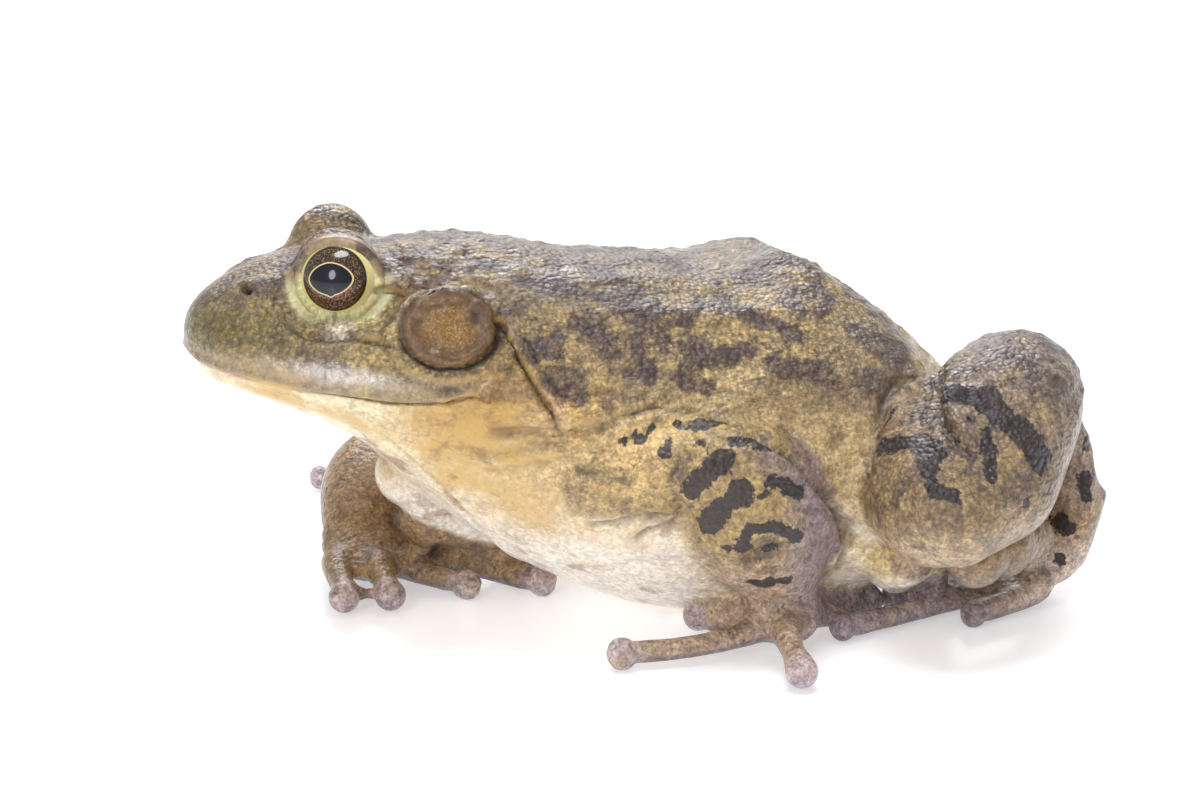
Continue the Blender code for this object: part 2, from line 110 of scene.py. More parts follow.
# %% [markdown]
# The skin starts as a copy of every flesh solid. Their flats and cut rims would show, so each copy is
# merged, its triangles are joined to quads, and a subdivision rounds it while creased rims hold their
# place. Swelling each copy a little closes the thin gaps between neighbours. A voxel remesh then makes
# one closed surface of them all, which no set of separate skins could give without seams. A ball where
# each eye sits closes the socket, so the skin is one layer there too.

# %% Copy and round the flesh
FLESH = sorted(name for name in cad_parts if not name.startswith("eye_"))
SWELL = 0.42          # mm, so that neighbours overlap
RIM_ANGLE = math.radians(46.0)
RIM_CREASE = 0.7
ROUNDING_LEVELS = 2


def rounded_copy(name):
    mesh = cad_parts[name].data.copy()
    bm = bmesh.new()
    bm.from_mesh(mesh)
    bmesh.ops.remove_doubles(bm, verts=bm.verts, dist=0.00001)
    bmesh.ops.join_triangles(bm, faces=bm.faces, angle_face_threshold=0.6, angle_shape_threshold=0.9)
    crease = bm.edges.layers.float.new("crease_edge")
    for edge in bm.edges:
        if len(edge.link_faces) != 2 or edge.calc_face_angle(0) > RIM_ANGLE:
            edge[crease] = RIM_CREASE
    bm.to_mesh(mesh)
    bm.free()
    piece = bpy.data.objects.new(f"round_{name}", mesh)
    bpy.context.scene.collection.objects.link(piece)
    rounding = piece.modifiers.new("rounding", "SUBSURF")
    rounding.levels = rounding.render_levels = ROUNDING_LEVELS
    return piece


def applied(piece):
    """The mesh of a piece with its modifiers worked in."""
    graph = bpy.context.evaluated_depsgraph_get()
    return bpy.data.meshes.new_from_object(piece.evaluated_get(graph))


print("flesh solids:", len(FLESH))

# %% [markdown]
# Some of the frog's skin is loose and hangs between its limbs: at the chest, where the right foreleg
# leans on the belly, and under the thighs. The solids leave gaps there. Listed balls fill them,
# and the remesh melts the balls into the rest. The swollen copies and the balls are gathered in one
# bmesh, and the points of each solid are kept to tell later which part of the frog is where.

# %% Join the flesh and the loose skin
CHEST_SKIN = [((-33, 15, 24), 7), ((-28, 15, 19.5), 7.5), ((-22.5, 15.5, 15.5), 8), ((-17, 16, 12.5), 8.5),
              ((-11, 17, 11), 9), ((-5, 17, 11), 9), ((-29.5, 16, 14), 5.5)]       # middle, radius in mm
THIGH_SKIN = [((42, -40, 15), 8), ((42, 40, 15), 8), ((50, -36, 11.5), 6.5), ((50, 36, 11.5), 6.5),
              ((53, -50, 15), 6), ((60, -47, 15.5), 6.5), ((66, -44, 15), 5.5), ((71, -41, 14), 4.5)]
together = bmesh.new()
node_points = {}
for name in FLESH:
    piece = rounded_copy(name)
    mesh = applied(piece)
    bm = bmesh.new()
    bm.from_mesh(mesh)
    bm.normal_update()
    for vert in bm.verts:
        vert.co += vert.normal * SWELL * MM
    bm.to_mesh(mesh)
    bm.free()
    together.from_mesh(mesh)
    node_points[name] = np.array([vert.co[:] for vert in mesh.vertices]) / MM
    bpy.data.objects.remove(piece)
for side in (1, -1):
    bmesh.ops.create_uvsphere(together, u_segments=32, v_segments=20, radius=(EYE_RADIUS + SWELL) * MM,
                              matrix=Matrix.Translation(Vector(from_head(EYE * (1, side, 1)) * MM)))
for middle, radius in CHEST_SKIN + THIGH_SKIN:
    bmesh.ops.create_uvsphere(together, u_segments=28, v_segments=18, radius=radius * MM,
                              matrix=Matrix.Translation(Vector((BODY_ORIGIN + middle) * MM)))
skin_mesh = bpy.data.meshes.new("skin")
together.to_mesh(skin_mesh)
together.free()
skin = bpy.data.objects.new("skin", skin_mesh)
bpy.context.scene.collection.objects.link(skin)
print("gathered:", len(skin_mesh.vertices), "points")

# %% [markdown]
# A voxel remesh walks through the gathered shells and makes one closed surface round all of them, with
# faces of one size. It can leave small shells inside, so only the largest is kept.

# %% Remesh to one skin
VOXEL = 1.2


def keep_largest(bm):
    """Drops every shell but the largest."""
    left, shells = set(bm.verts), []
    while left:
        shell, queue = [], [left.pop()]
        while queue:
            vert = queue.pop()
            shell.append(vert)
            for edge in vert.link_edges:
                other = edge.other_vert(vert)
                if other in left:
                    left.discard(other)
                    queue.append(other)
        shells.append(shell)
    shells.sort(key=len)
    for shell in shells[:-1]:
        bmesh.ops.delete(bm, geom=shell, context="VERTS")
    return len(shells)


remesh = skin.modifiers.new("one skin", "REMESH")
remesh.mode = "VOXEL"
remesh.voxel_size = VOXEL * MM
mesh = applied(skin)
skin.modifiers.clear()
bm = bmesh.new()
bm.from_mesh(mesh)
print("shells:", keep_largest(bm))
bm.to_mesh(mesh)
bm.free()
skin.data = mesh
print("one skin:", len(mesh.vertices), "points")


def read_points():
    flat = np.empty(len(skin.data.vertices) * 3)
    skin.data.vertices.foreach_get("co", flat)
    return flat.reshape(-1, 3) / MM


# %% [markdown]
# The remesh leaves faint steps where solids met, so the skin is smoothed: a pull towards the
# neighbours, then a push back, which keeps thin toes from shrinking.

# %% Smooth
SMOOTHING = 8


def smoothed(places, strength, rounds=SMOOTHING):
    """Points pulled towards their neighbours and pushed back, by a strength for each point."""
    flat = np.empty(len(skin.data.edges) * 2, int)
    skin.data.edges.foreach_get("vertices", flat)
    a, b = flat.reshape(-1, 2).T
    count = np.bincount(a, minlength=len(places)) + np.bincount(b, minlength=len(places))
    for _ in range(rounds):
        for share in (0.5, -0.53):
            total = [np.bincount(a, places[b, k], len(places)) + np.bincount(b, places[a, k], len(places))
                     for k in range(3)]
            mean = np.stack(total, axis=1) / count[:, None]
            places = places + (mean - places) * (share * strength)[:, None]
    return places


def write_points(places):
    skin.data.vertices.foreach_set("co", (places * MM).ravel())
    skin.data.update()


points = read_points()
points = smoothed(points, np.ones(len(points)))
write_points(points)
print("smoothed:", SMOOTHING, "rounds")

# %% [markdown]
# A crease needs points on both its sides and at its bottom, and faces of more than a millimetre are too
# coarse for that. So the head gets finer faces, the rims of the eyes, the mouth and the nostrils finer
# ones again, and the round ends of the digits too. Cutting edges in half there keeps the skin closed.
# The line of the mouth is needed for it, given for the left side in the head's own directions.

# %% Lines to work along
MOUTH = np.array([(-1.5, 30, 1), (1, 29, 1.5), (5, 29, 0.5), (9, 28.5, 0), (15, 27.5, 0),
                  (22.5, 25.5, 1), (30.5, 22.5, 1.5), (38, 18.5, 2.5), (42, 16, 3), (46, 12, 3.5),
                  (48.5, 9, 3.5), (50.5, 4.5, 4.5)])
NOSTRIL = np.array([39.8, 9.6, 17.8])


def smooth_row(row, step):
    """A smooth line through a row of points, with a point every step or so."""
    row = np.asarray(row, float)
    ends = np.vstack([2 * row[0] - row[1], row, 2 * row[-1] - row[-2]])
    made = []
    for a, b, c, d in zip(ends, ends[1:], ends[2:], ends[3:]):
        for t in np.arange(0, 1, 1 / max(1, round(np.linalg.norm(c - b) / step))):
            made.append(0.5 * (2 * b + (c - a) * t + (2 * a - 5 * b + 4 * c - d) * t ** 2
                               + (3 * b - a - 3 * c + d) * t ** 3))
    return np.array(made + [row[-1]])


MOUTH_ROUND = np.vstack([MOUTH, [(51.0, 0, 4.6)], (MOUTH * MIRROR)[::-1]])
mouth_points = smooth_row(MOUTH_ROUND, 1.0)
print("mouth:", len(mouth_points), "points round the snout")

# %% How edges are cut
def cut_finer(inside):
    """Cuts in half every edge whose two ends are inside, given as a test on head places."""
    bm = bmesh.new()
    bm.from_mesh(skin.data)
    bm.verts.ensure_lookup_table()
    places = np.array([vert.co[:] for vert in bm.verts]) / MM
    chosen = inside(to_head(places))
    fine = [edge for edge in bm.edges if chosen[edge.verts[0].index] and chosen[edge.verts[1].index]]
    bmesh.ops.subdivide_edges(bm, edges=fine, cuts=1, use_grid_fill=True)
    bm.to_mesh(skin.data)
    bm.free()
    skin.data.update()
    return len(skin.data.vertices)


def on_both_sides(place):
    """A place on the head's left side and its mirror on the right."""
    return np.array([place, place * MIRROR])


def nearest(places, row):
    """Each place's distance to the nearest point of a row."""
    best = np.full(len(places), 1e9)
    for point in row:
        best = np.minimum(best, np.linalg.norm(places - point, axis=1))
    return best


print("ready to cut:", len(skin.data.edges), "edges")

# %% Where the digits end
BULB = {"finger": 2.95, "toe": 2.5}      # radius of the round end of a digit
TIP_LENGTH = 3.2                         # how much of a digit counts as its end


def digit_tips():
    """The middle of each digit's rounded end, and how wide the bulb there is."""
    for name, places in node_points.items():
        kind, _, rest = name.partition("_")
        if kind in BULB:
            number = rest[0]
            root = node_points[name.replace(f"{kind}_{number}", "palm" if kind == "finger" else "sole")]
            far = np.linalg.norm(places - root.mean(0), axis=1)
            yield places[far > far.max() - TIP_LENGTH].mean(0), BULB[kind]


tips = list(digit_tips())
tip_middles = np.array([tip for tip, _ in tips])
print("digits:", len(tips))

# %% Cut the faces finer
def face_region(places):
    """The face in front, and the area of the fold behind the eardrum."""
    fold_area = (places[:, 0] > -14) & (places[:, 2] > -7) & (places[:, 2] < 22) & (np.abs(places[:, 1]) > 20)
    return ((places[:, 0] > -5) & (places[:, 2] > -4)) | fold_area


def rim_region(places):
    eyes = nearest(places, on_both_sides(EYE))
    outside = np.abs(places[:, 1]) > 14.5
    rims = (eyes > 5.5) & (eyes < 10.5) & outside & (places[:, 0] > 14) & (places[:, 2] > 12)
    return rims | (nearest(places, on_both_sides(NOSTRIL)) < 3.2) | (nearest(places, mouth_points) < 1.4)


def tip_region(places):
    return nearest(places, to_head(tip_middles)) < 4.2


print("face cut finer:", cut_finer(face_region))
print("rims cut finer:", cut_finer(rim_region))
print("digit ends cut finer:", cut_finer(tip_region))
skin.data.shade_smooth()

# %% [markdown]
# From here the skin is sculpted. A sculptor's stroke follows a line on the surface, so each line starts
# as a handful of places, is made smooth, and is laid on the skin so that it can't float above it. The
# skin points near the line are then found, with their distances from it.

# %% Lines on the skin
points = read_points()
normals = np.empty_like(points)


def refresh():
    """Writes the points and reads the directions in which the skin now faces."""
    write_points(points)
    flat = np.empty(len(points) * 3)
    skin.data.vertex_normals.foreach_get("vector", flat)
    normals[:] = flat.reshape(-1, 3)


def laid_on_skin(row):
    """A smooth line through places, moved straight out or in onto the skin."""
    line = smooth_row(row, 1.0)
    for i, place in enumerate(line):
        k = np.argmin(((points - place) ** 2).sum(1))
        line[i] = place + normals[k] * ((points[k] - place) @ normals[k])
    return line


def line_field(line, reach):
    """Points near a line: which, how far, what share along it, and the way from the line to each."""
    low, high = line.min(0) - reach, line.max(0) + reach
    near = np.flatnonzero(((points > low) & (points < high)).all(1))
    here = points[near]
    best = np.full(len(near), 1e9)
    share, away = np.zeros(len(near)), np.zeros((len(near), 3))
    for k in range(len(line) - 1):
        a, b = line[k], line[k + 1]
        t = np.clip((here - a) @ (b - a) / max((b - a) @ (b - a), 1e-9), 0, 1)
        gap = here - (a + t[:, None] * (b - a))
        far = np.linalg.norm(gap, axis=1)
        closer = far < best
        best[closer] = far[closer]
        share[closer] = ((k + t) / (len(line) - 1))[closer]
        away[closer] = gap[closer]
    return near, best, share, away


refresh()
print("skin to sculpt:", len(points), "points")

# %% [markdown]
# A brush moves points along the skin's own direction by an amount that falls off from a line or a spot.
# A groove, a ridge and a fold are all one brush with other numbers. The brushes only move points, so the
# skin stays closed, whatever they do. Before they start, the swelling of the copies is taken back.

# %% Brushes
def ease(value, low, high):
    """A smooth step from 0 at low to 1 at high."""
    t = np.clip((value - low) / (high - low), 0, 1)
    return t * t * (3 - 2 * t)


def taper(share, ends):
    """Fades a brush in over the first share of its line and out over the last."""
    first, last = ends
    return ease(share, -0.001, first) * ease(1 - share, -0.001, last)


def stroke(row, width, height, ends=(0.15, 0.15)):
    """A ridge along a line, or a groove where the height is below nothing."""
    near, far, share, _ = line_field(laid_on_skin(row), width * 3)
    amount = height * np.exp(-(far / width) ** 2) * taper(share, ends)
    points[near] += normals[near] * amount[:, None]


def fold(row, towards, groove, lip, ends=(0.12, 0.12)):
    """A groove with a swollen lip on one side. groove and lip: (width, height), (offset, width, height)."""
    near, far, share, away = line_field(laid_on_skin(row), lip[0] + lip[1] * 3)
    side = np.sign(away @ np.asarray(towards, float)) * far
    amount = -groove[1] * np.exp(-(side / groove[0]) ** 2)
    amount += lip[2] * np.exp(-((side - lip[0]) / lip[1]) ** 2)
    points[near] += normals[near] * (amount * taper(share, ends))[:, None]


def dome(place, width, height):
    """A bump or a dent round a place."""
    far = np.linalg.norm(points - place, axis=1)
    near = far < width * 3
    points[near] += normals[near] * (height * np.exp(-(far[near] / width) ** 2))[:, None]


points -= normals * SWELL
refresh()
print("swelling taken back:", SWELL, "mm")

# %% [markdown]
# The head's big forms come first: cheeks, the hollow between eye and nostril, the thick upper lip and
# the crease that runs back from under the eye below the eardrum. A frog is the same on both sides, so
# every line is given for its left side and mirrored.

# %% Forms of the head
UNDER_EYE_CREASE = [(34.5, 17.5, 14), (30, 21, 12.5), (26, 22.5, 12), (21, 24, 11.5), (16.5, 25.5, 11),
                    (12, 27, 9.5), (7, 28, 8), (2, 28, 7), (-1, 28, 7)]
UPPER_LIP = [(47, 8, 9), (42, 13.5, 7.5), (36, 18, 7), (30, 21.5, 6.5), (24, 24, 6), (17, 26, 5),
             (10, 27.5, 4), (4, 28.5, 4)]
CHEEK = [(26, 21.5, 13.5), (21, 23, 14), (16, 23.5, 13.5), (12.5, 24.5, 12)]
BROW_EDGE = [(30.5, 12, 23), (35.5, 10.5, 20.5), (40, 8.5, 19), (44, 6, 17)]
LORE = [(31.5, 16.5, 16.5), (35.5, 15, 15), (38.5, 13.5, 13.5)]


def on_left_and_right(brush, row, *sizes, towards=None, **others):
    for flip in LEFT_AND_RIGHT:
        line = from_head(np.asarray(row, float) * flip)
        if towards is None:
            brush(line, *sizes, **others)
        else:
            brush(line, (np.asarray(towards, float) * flip) @ HEAD_AXES, *sizes, **others)


on_left_and_right(stroke, UPPER_LIP, 3.2, 0.9)
on_left_and_right(stroke, LORE, 2.6, -0.9)
on_left_and_right(stroke, BROW_EDGE, 1.8, 0.5)
refresh()
print("lines on each side of the head:", len([UPPER_LIP, LORE, BROW_EDGE]))

# %% [markdown]
# The mouth runs round the whole snout as one thin line. A groove alone would look like a scratch, so
# the skin just above it is raised to a lip and the jaw just below it is set back.

# %% Mouth
mouth = laid_on_skin(from_head(MOUTH_ROUND))
near, far, share, away = line_field(mouth, 6.0)
side = np.sign(away[:, 2]) * far
ends = taper(share, (0.05, 0.05))
amount = -1.5 * np.exp(-(side / 0.42) ** 2)                                # the groove
amount += 0.45 * np.exp(-((side - 1.1) / 0.8) ** 2)                        # the lip above it
amount -= 0.75 * ease(-side, 0.1, 0.9) * (1 - ease(-side, 1.5, 5.5))       # the jaw below it
points[near] += normals[near] * (amount * ends)[:, None]
refresh()
print("mouth closed over", len(near), "points")

# %% [markdown]
# The eyes bulge from the head. Round each one the skin is reshaped by its distance from the eyeball's
# centre: inside the lids' opening it dips just under the eyeball, at the opening it rises past it, and
# it rolls over into a rounded lid before it meets the head again. The edge of the lid is where the
# two surfaces cross, so it can't leave a slit.

# %% Lids
EYE_AXIS = np.array([0.26, 0.94, 0.20])
EYE_AXIS /= np.linalg.norm(EYE_AXIS)
EYE_FRONT = np.array([1.0, 0, 0]) - EYE_AXIS * EYE_AXIS[0]
EYE_FRONT /= np.linalg.norm(EYE_FRONT)
EYE_TOP = np.cross(EYE_FRONT, EYE_AXIS)
EYE_TOP *= np.sign(EYE_TOP[2])
OPEN_FRONT, OPEN_BACK, OPEN_TOP, OPEN_BOTTOM = np.radians([66, 75, 55, 62])   # half angles of the opening
LID_EDGE, LID_ROLL = 0.35, 1.15


def eye_places(in_head, flip):
    """Places round an eye: distance from its centre, then out, front and top shares."""
    out = (in_head - EYE * flip) * flip
    far = np.linalg.norm(out, axis=1)
    unit = out / far[:, None]
    return far, unit @ EYE_AXIS, unit @ EYE_FRONT, unit @ EYE_TOP


def past_opening(outward, front, top):
    """Millimetres along the ball past the opening's edge, below nothing inside it."""
    across = np.maximum(np.hypot(front, top), 1e-6)
    half = 1 / np.hypot(front / across / np.where(front > 0, OPEN_FRONT, OPEN_BACK),
                        top / across / np.where(top > 0, OPEN_TOP, OPEN_BOTTOM))
    return (np.arccos(np.clip(outward, -1, 1)) - half) * EYE_RADIUS


for flip in LEFT_AND_RIGHT:
    in_head = to_head(points)
    far, outward, front, top = eye_places(in_head, flip)
    near = np.flatnonzero((far < 14) & (outward > -0.5))
    past, now = past_opening(outward[near], front[near], top[near]), far[near]
    # skin that stands in front of the opening is first turned aside round the eye's centre
    aside = ease(now - EYE_RADIUS, 0.5, 1.8) * (1 - ease(now - EYE_RADIUS, 4, 7)) * np.clip(1.5 - past, 0, 6)
    angle = np.arccos(outward[near]) + aside / EYE_RADIUS
    across = np.maximum(np.hypot(front[near], top[near]), 1e-6)
    unit = (np.cos(angle)[:, None] * EYE_AXIS + (np.sin(angle) / across)[:, None]
            * (front[near][:, None] * EYE_FRONT + top[near][:, None] * EYE_TOP))
    past = past + aside
    roll = np.interp(past, [-12, -0.45, 0.0, 0.5, 1.3, 3.0],
                     [-0.9, -0.9, 0.0, LID_EDGE + 0.5, LID_ROLL, LID_ROLL - 0.2])
    blend = np.maximum(ease(past, 1.6, 4.2), ease(now - EYE_RADIUS, 1.4, 3.6))
    wanted = (EYE_RADIUS + roll) * (1 - blend) + now * blend
    points[near] = from_head((EYE + unit * wanted[:, None]) * flip)
    print("lids:", len(near), "points round one eye")
refresh()

# %% [markdown]
# Reshaping bunches the points where the lids meet the head, so that band is smoothed. Under the eye the
# skin then stands behind the cheek. A plain line says how far out the cheek is along the head, and skin
# that is behind that line is moved out to it, or the lower lid would hang over a trough.

# %% Even out the skin round the eyes
flat = to_head(points)
strength = np.zeros(len(points))
for flip in LEFT_AND_RIGHT:
    far, outward, front, top = eye_places(flat, flip)
    past = past_opening(outward, front, top)
    strength = np.maximum(strength, (far < 13) * ease(past, 1.2, 2.4) * ease(8 - past, 0, 3))
points = smoothed(points, strength, 10)
refresh()
print("evened out:", int((strength > 0).sum()), "points")

# %% Skin between the lower lid and the cheek
CHEEK_SIDE = ([10, 17, 24, 30, 36], [27, 25.5, 23.5, 20.5, 17])   # how far out the cheek is, along the head
CHEEK_FOOT, CHEEK_TOP, LID_BOTTOM = 6.5, 9.5, 13.0
in_head = to_head(points)
along, out, high = in_head[:, 0], np.abs(in_head[:, 1]), in_head[:, 2]
wanted = np.interp(along, *CHEEK_SIDE) - np.clip(high - CHEEK_TOP, 0, None)
hollow = (out > 11) & (out < wanted) & (high > CHEEK_FOOT) & (high < LID_BOTTOM + 0.8)
share = hollow * ease(along, 11, 15) * ease(37 - along, 0, 3)
share = share * ease(high, CHEEK_FOOT, 8) * (1 - ease(high, LID_BOTTOM, LID_BOTTOM + 0.8))
in_head[:, 1] += np.sign(in_head[:, 1]) * share * (wanted - out) * 0.95
points = from_head(in_head)
around_hollow = (out > 11) * ease(along, 9, 12) * ease(40 - along, 0, 3)
around_hollow = around_hollow * ease(high, 4.5, 6) * (1 - ease(high, 11.6, 12.8))
points = smoothed(points, around_hollow, 14)
refresh()
on_left_and_right(fold, UNDER_EYE_CREASE, (0.6, 1.1), (1.5, 1.2, 0.5), towards=(0, 0, 1), ends=(0.2, 0.1))
on_left_and_right(stroke, CHEEK, 1.2, 0.35)
refresh()
print("cheeks filled out:", int(hollow.sum()), "points")

# %% [markdown]
# The eardrum is a round, flat plate behind the eye with a raised rim. Its skin is pressed to a profile
# that depends only on the distance from its middle. A fold of loose skin comes from the eye, passes over
# the drum and runs down behind it to the arm. It is made in three parts: a lip above the rim, a short
# crease behind the eye and a long one behind the drum, so that no brush crosses the drum's own rim.

# %% Eardrum and the fold over it
DRUM = np.array([4.6, 25.7, 13.3])
DRUM_OUT = np.array([-0.10, 0.92, 0.33])
DRUM_OUT /= np.linalg.norm(DRUM_OUT)
DRUM_LONG = np.array([1.0, 0, 0]) - DRUM_OUT * DRUM_OUT[0]
DRUM_LONG /= np.linalg.norm(DRUM_LONG)
DRUM_TALL = np.cross(DRUM_OUT, DRUM_LONG)
DRUM_HALF = (8.3, 6.7)       # mm, along and up


def drum_places(flip):
    """Distances from a drum's middle, along it, up it and out of it, and the share of its radius."""
    out = (to_head(points) - DRUM * flip) * flip
    along, tall = out @ DRUM_LONG, out @ DRUM_TALL
    return along, tall, out @ DRUM_OUT, np.hypot(along / DRUM_HALF[0], tall / DRUM_HALF[1])


BEHIND_EYE = [(17, 18, 18), (14.5, 18.5, 19), (13, 19, 19.5)]
BEHIND_DRUM = [(-3.5, 24.5, 15), (-5, 25, 12.5), (-6.5, 26.5, 9), (-8.5, 28.5, 5.5),
               (-11, 31, 1.5), (-12.5, 32.5, -1), (-13.5, 33, -3), (-12.5, 33, -5)]
for flip in LEFT_AND_RIGHT:
    _, tall, high, round_rim = drum_places(flip)
    near = np.flatnonzero((round_rim < 1.5) & (np.abs(high) < 5))
    ring = round_rim[near]
    profile = -0.25 + 0.55 * np.exp(-((ring - 0.86) / 0.12) ** 2) - 0.5 * np.exp(-((ring - 1.05) / 0.07) ** 2)
    profile += 0.35 * np.exp(-(ring / 0.45) ** 2)
    overhung = ease(tall[near], -2, 3)
    profile -= 0.7 * overhung * np.exp(-((ring - 1.06) / 0.07) ** 2)
    share = 1 - ease(ring, 1.02, 1.5)
    move = (profile - high[near]) * share
    points[near] += ((DRUM_OUT * flip) @ HEAD_AXES) * move[:, None]
    print("eardrum:", len(near), "points")
refresh()
for flip in LEFT_AND_RIGHT:
    _, tall, high, ring = drum_places(flip)
    overhang = (np.abs(high) < 5) * ease(tall, -1, 3) * np.exp(-((ring - 1.3) / 0.13) ** 2)
    points += normals * (0.8 * overhang)[:, None]
refresh()
on_left_and_right(fold, BEHIND_EYE, (0.5, 1.0), (1.3, 0.9, 0.5), towards=(0, 0, 1), ends=(0.25, 0.1))
on_left_and_right(fold, BEHIND_DRUM, (0.55, 1.7), (1.7, 1.0, 1.3), towards=(-0.75, 0, 0.66),
                  ends=(0.05, 0.05))
refresh()

# %% [markdown]
# Each nostril is a slanting pit in a low mound, with a small ridge behind and below it. The pit is
# pushed in last, and the points inside it are remembered, so that shade can be painted in it.

# %% Nostrils
NOSTRIL_RIDGE = np.array([(37.2, 12.2, 18.6), (37.1, 13.2, 17.2), (38.2, 13.4, 15.9), (40.2, 12.4, 15.6)])
in_nostril = np.zeros(len(points))
for flip in LEFT_AND_RIGHT:
    rim, _ = laid_on_skin(from_head(np.array([NOSTRIL + (-0.6, 0.6, -0.6), NOSTRIL]) * flip))[[0, -1]]
    dome(rim, 2.4, 1.1)
    refresh()
    pit = laid_on_skin(from_head(np.array([NOSTRIL + (-0.7, 0.7, -0.5), NOSTRIL + (0.8, -0.5, 0.4)]) * flip))
    near, far, _, _ = line_field(pit, 3)
    in_nostril[near] = np.maximum(in_nostril[near], np.exp(-(far / 0.95) ** 4))
    points[near] -= normals[near] * (2.8 * np.exp(-(far / 1.0) ** 3))[:, None]
    refresh()
    stroke(from_head(NOSTRIL_RIDGE * flip), 0.6, 0.6)
    refresh()
print("nostrils:", int((in_nostril > 0.5).sum()), "points in the pits")

# %% [markdown]
# The body is sculpted in its own directions, measured from a point between the forefeet. Folds of loose
# skin hang at the neck, the shoulder and the hip, where the legs are drawn up. The back has two humps,
# where a sitting frog's hips stand up under the skin.

# %% Where the body's folds lie
SHOULDER_FOLD = [(-35, -26.5, 42.5), (-29.5, -30.5, 43.5), (-24.5, -33, 43.5), (-19, -35, 44),
                 (-13, -36.5, 44.5)]
NECK_FOLD = [(-38, -24, 39.5), (-32, -28, 39.5), (-26, -32.5, 41.5), (-19.5, -34.5, 41)]
THROAT_CREASE = [(-51.5, -15, 42.5), (-42.5, -16, 34), (-32, -14, 23), (-22, -5, 12), (-14.5, 4.5, 6)]
CHEST_CREASE = [(-34.5, -24.5, 35), (-27.5, -30, 37), (-21, -34.5, 39.5)]
ARMPIT_FOLDS = [[(-18, -32, 25.5), (-13.5, -35, 26), (-8, -39, 27.5), (-2.5, -40.5, 28)],
                [(-9.5, -35, 21.5), (-7.5, -36.5, 24.5), (-4.5, -38, 25.5), (-2, -40, 27.5)],
                [(-20.5, -34.5, 36.5), (-16, -38, 36), (-12, -40.5, 34.5)]]
FLANK_CREASES = [[(-25.5, -31.5, 50.5), (-9.5, -36, 49.5), (1.5, -38, 47.5), (10, -40.5, 45)],
                 [(-22, -30.5, 54), (-8, -34, 53), (4, -36.5, 50.5), (14, -39, 46.5)]]
ELBOW_CREASE = [(-6.5, -45, 35.5), (-5, -45, 38.5), (-2, -45, 41)]
ARM_RIDGE = [(-17, -36, 43), (-13, -36.5, 44.5), (-7, -37.5, 45.5), (-1.5, -38.5, 45.5), (3, -40, 45),
             (7, -43, 44)]
ARM_TOP = [(-17, -35, 43), (-15, -35.5, 44), (-13.5, -36.5, 45.5), (-11, -36.5, 46), (-8.5, -36.5, 46.5),
           (-6, -37, 47), (-3, -37.5, 46.5), (0.5, -38.5, 46), (3, -39.5, 45.5), (6, -42.5, 44.5),
           (9, -45.5, 43)]
ARM_BACK = [(9, -45.5, 43), (12.5, -48, 40.5), (15.5, -48.5, 38), (17.5, -48.5, 35.5), (20, -48.5, 32.5),
            (22.5, -47.5, 30), (26, -44.5, 26), (28.5, -43, 23), (30.5, -43, 20), (32, -42.5, 17)]
ARM_FRONT = [(-6.5, -44, 36.5), (-4.5, -43.5, 31.5), (0, -41, 24), (2.5, -42, 21), (5.5, -42.5, 16.5),
             (9, -44, 14)]
WRIST_CREASE = [(7.5, -48, 17.5), (6.5, -48.5, 20.5), (9, -51, 22), (12.5, -52.5, 24)]
FOREARM_EDGE = [(26, -46.5, 27), (29, -43, 19.5), (30, -40, 14), (27.5, -40.5, 10)]
HIP_FOLD = [(50.5, -42, 52), (46.5, -41, 49.5), (41.5, -39.5, 47), (37, -42.5, 42.5), (33.5, -46.5, 36),
            (31.5, -49, 32), (30.5, -50.5, 26.5)]
KNEE_CREASE = [(49.5, -43.5, 51), (45, -48, 47.5), (42.5, -52.5, 45), (41.5, -58.5, 42.5), (42.5, -63, 40),
               (45.5, -65, 37.5)]
BACK_RIDGES = [[(-22, -17, 67), (-6, -17.5, 67), (10, -17, 65.5), (26, -14.5, 64)],
               [(-18, -24.5, 63), (-2, -26, 61.5), (14, -26.5, 60), (28, -24, 59)]]


def in_body_frame(row):
    return np.asarray(row, float) + BODY_ORIGIN


def on_both_flanks(brush, row, *sizes, towards=None, **others):
    for flip in LEFT_AND_RIGHT:
        line = in_body_frame(np.asarray(row, float) * flip)
        if towards is None:
            brush(line, *sizes, **others)
        else:
            brush(line, np.asarray(towards, float) * flip, *sizes, **others)


print("places on the longest fold:", max(len(row) for row in (ARM_TOP, ARM_BACK, HIP_FOLD)))

# %% Folds of the trunk
on_both_flanks(fold, SHOULDER_FOLD, (0.9, 1.2), (2.3, 1.7, 1.1), towards=(0, 0, 1))
on_both_flanks(fold, NECK_FOLD, (0.7, 0.9), (-1.7, 1.3, 0.7), towards=(0, 0, 1))
on_both_flanks(fold, THROAT_CREASE, (0.7, 0.8), (1.8, 1.6, 0.5), towards=(1, 0, 0.3))
on_both_flanks(stroke, CHEST_CREASE, 0.8, -0.6)
for row in ARMPIT_FOLDS:
    on_both_flanks(fold, row, (0.75, 1.0), (1.8, 1.3, 0.8), towards=(0, 0, 1), ends=(0.3, 0.05))
for row in FLANK_CREASES:
    on_both_flanks(stroke, row, 1.0, -0.45, ends=(0.3, 0.3))
for row in BACK_RIDGES:
    on_both_flanks(stroke, row, 2.2, 0.6, ends=(0.3, 0.3))
refresh()
print("trunk folded, skin now reaches", round(points[:, 2].max(), 1), "mm up")

# %% [markdown]
# The near foreleg and the near thigh lie close against the trunk. The union runs them into it, so their
# outlines are cut back in: a groove along each edge, with a swollen lip on the limb's side. Only the
# left limbs need it, since the right ones stand clear.

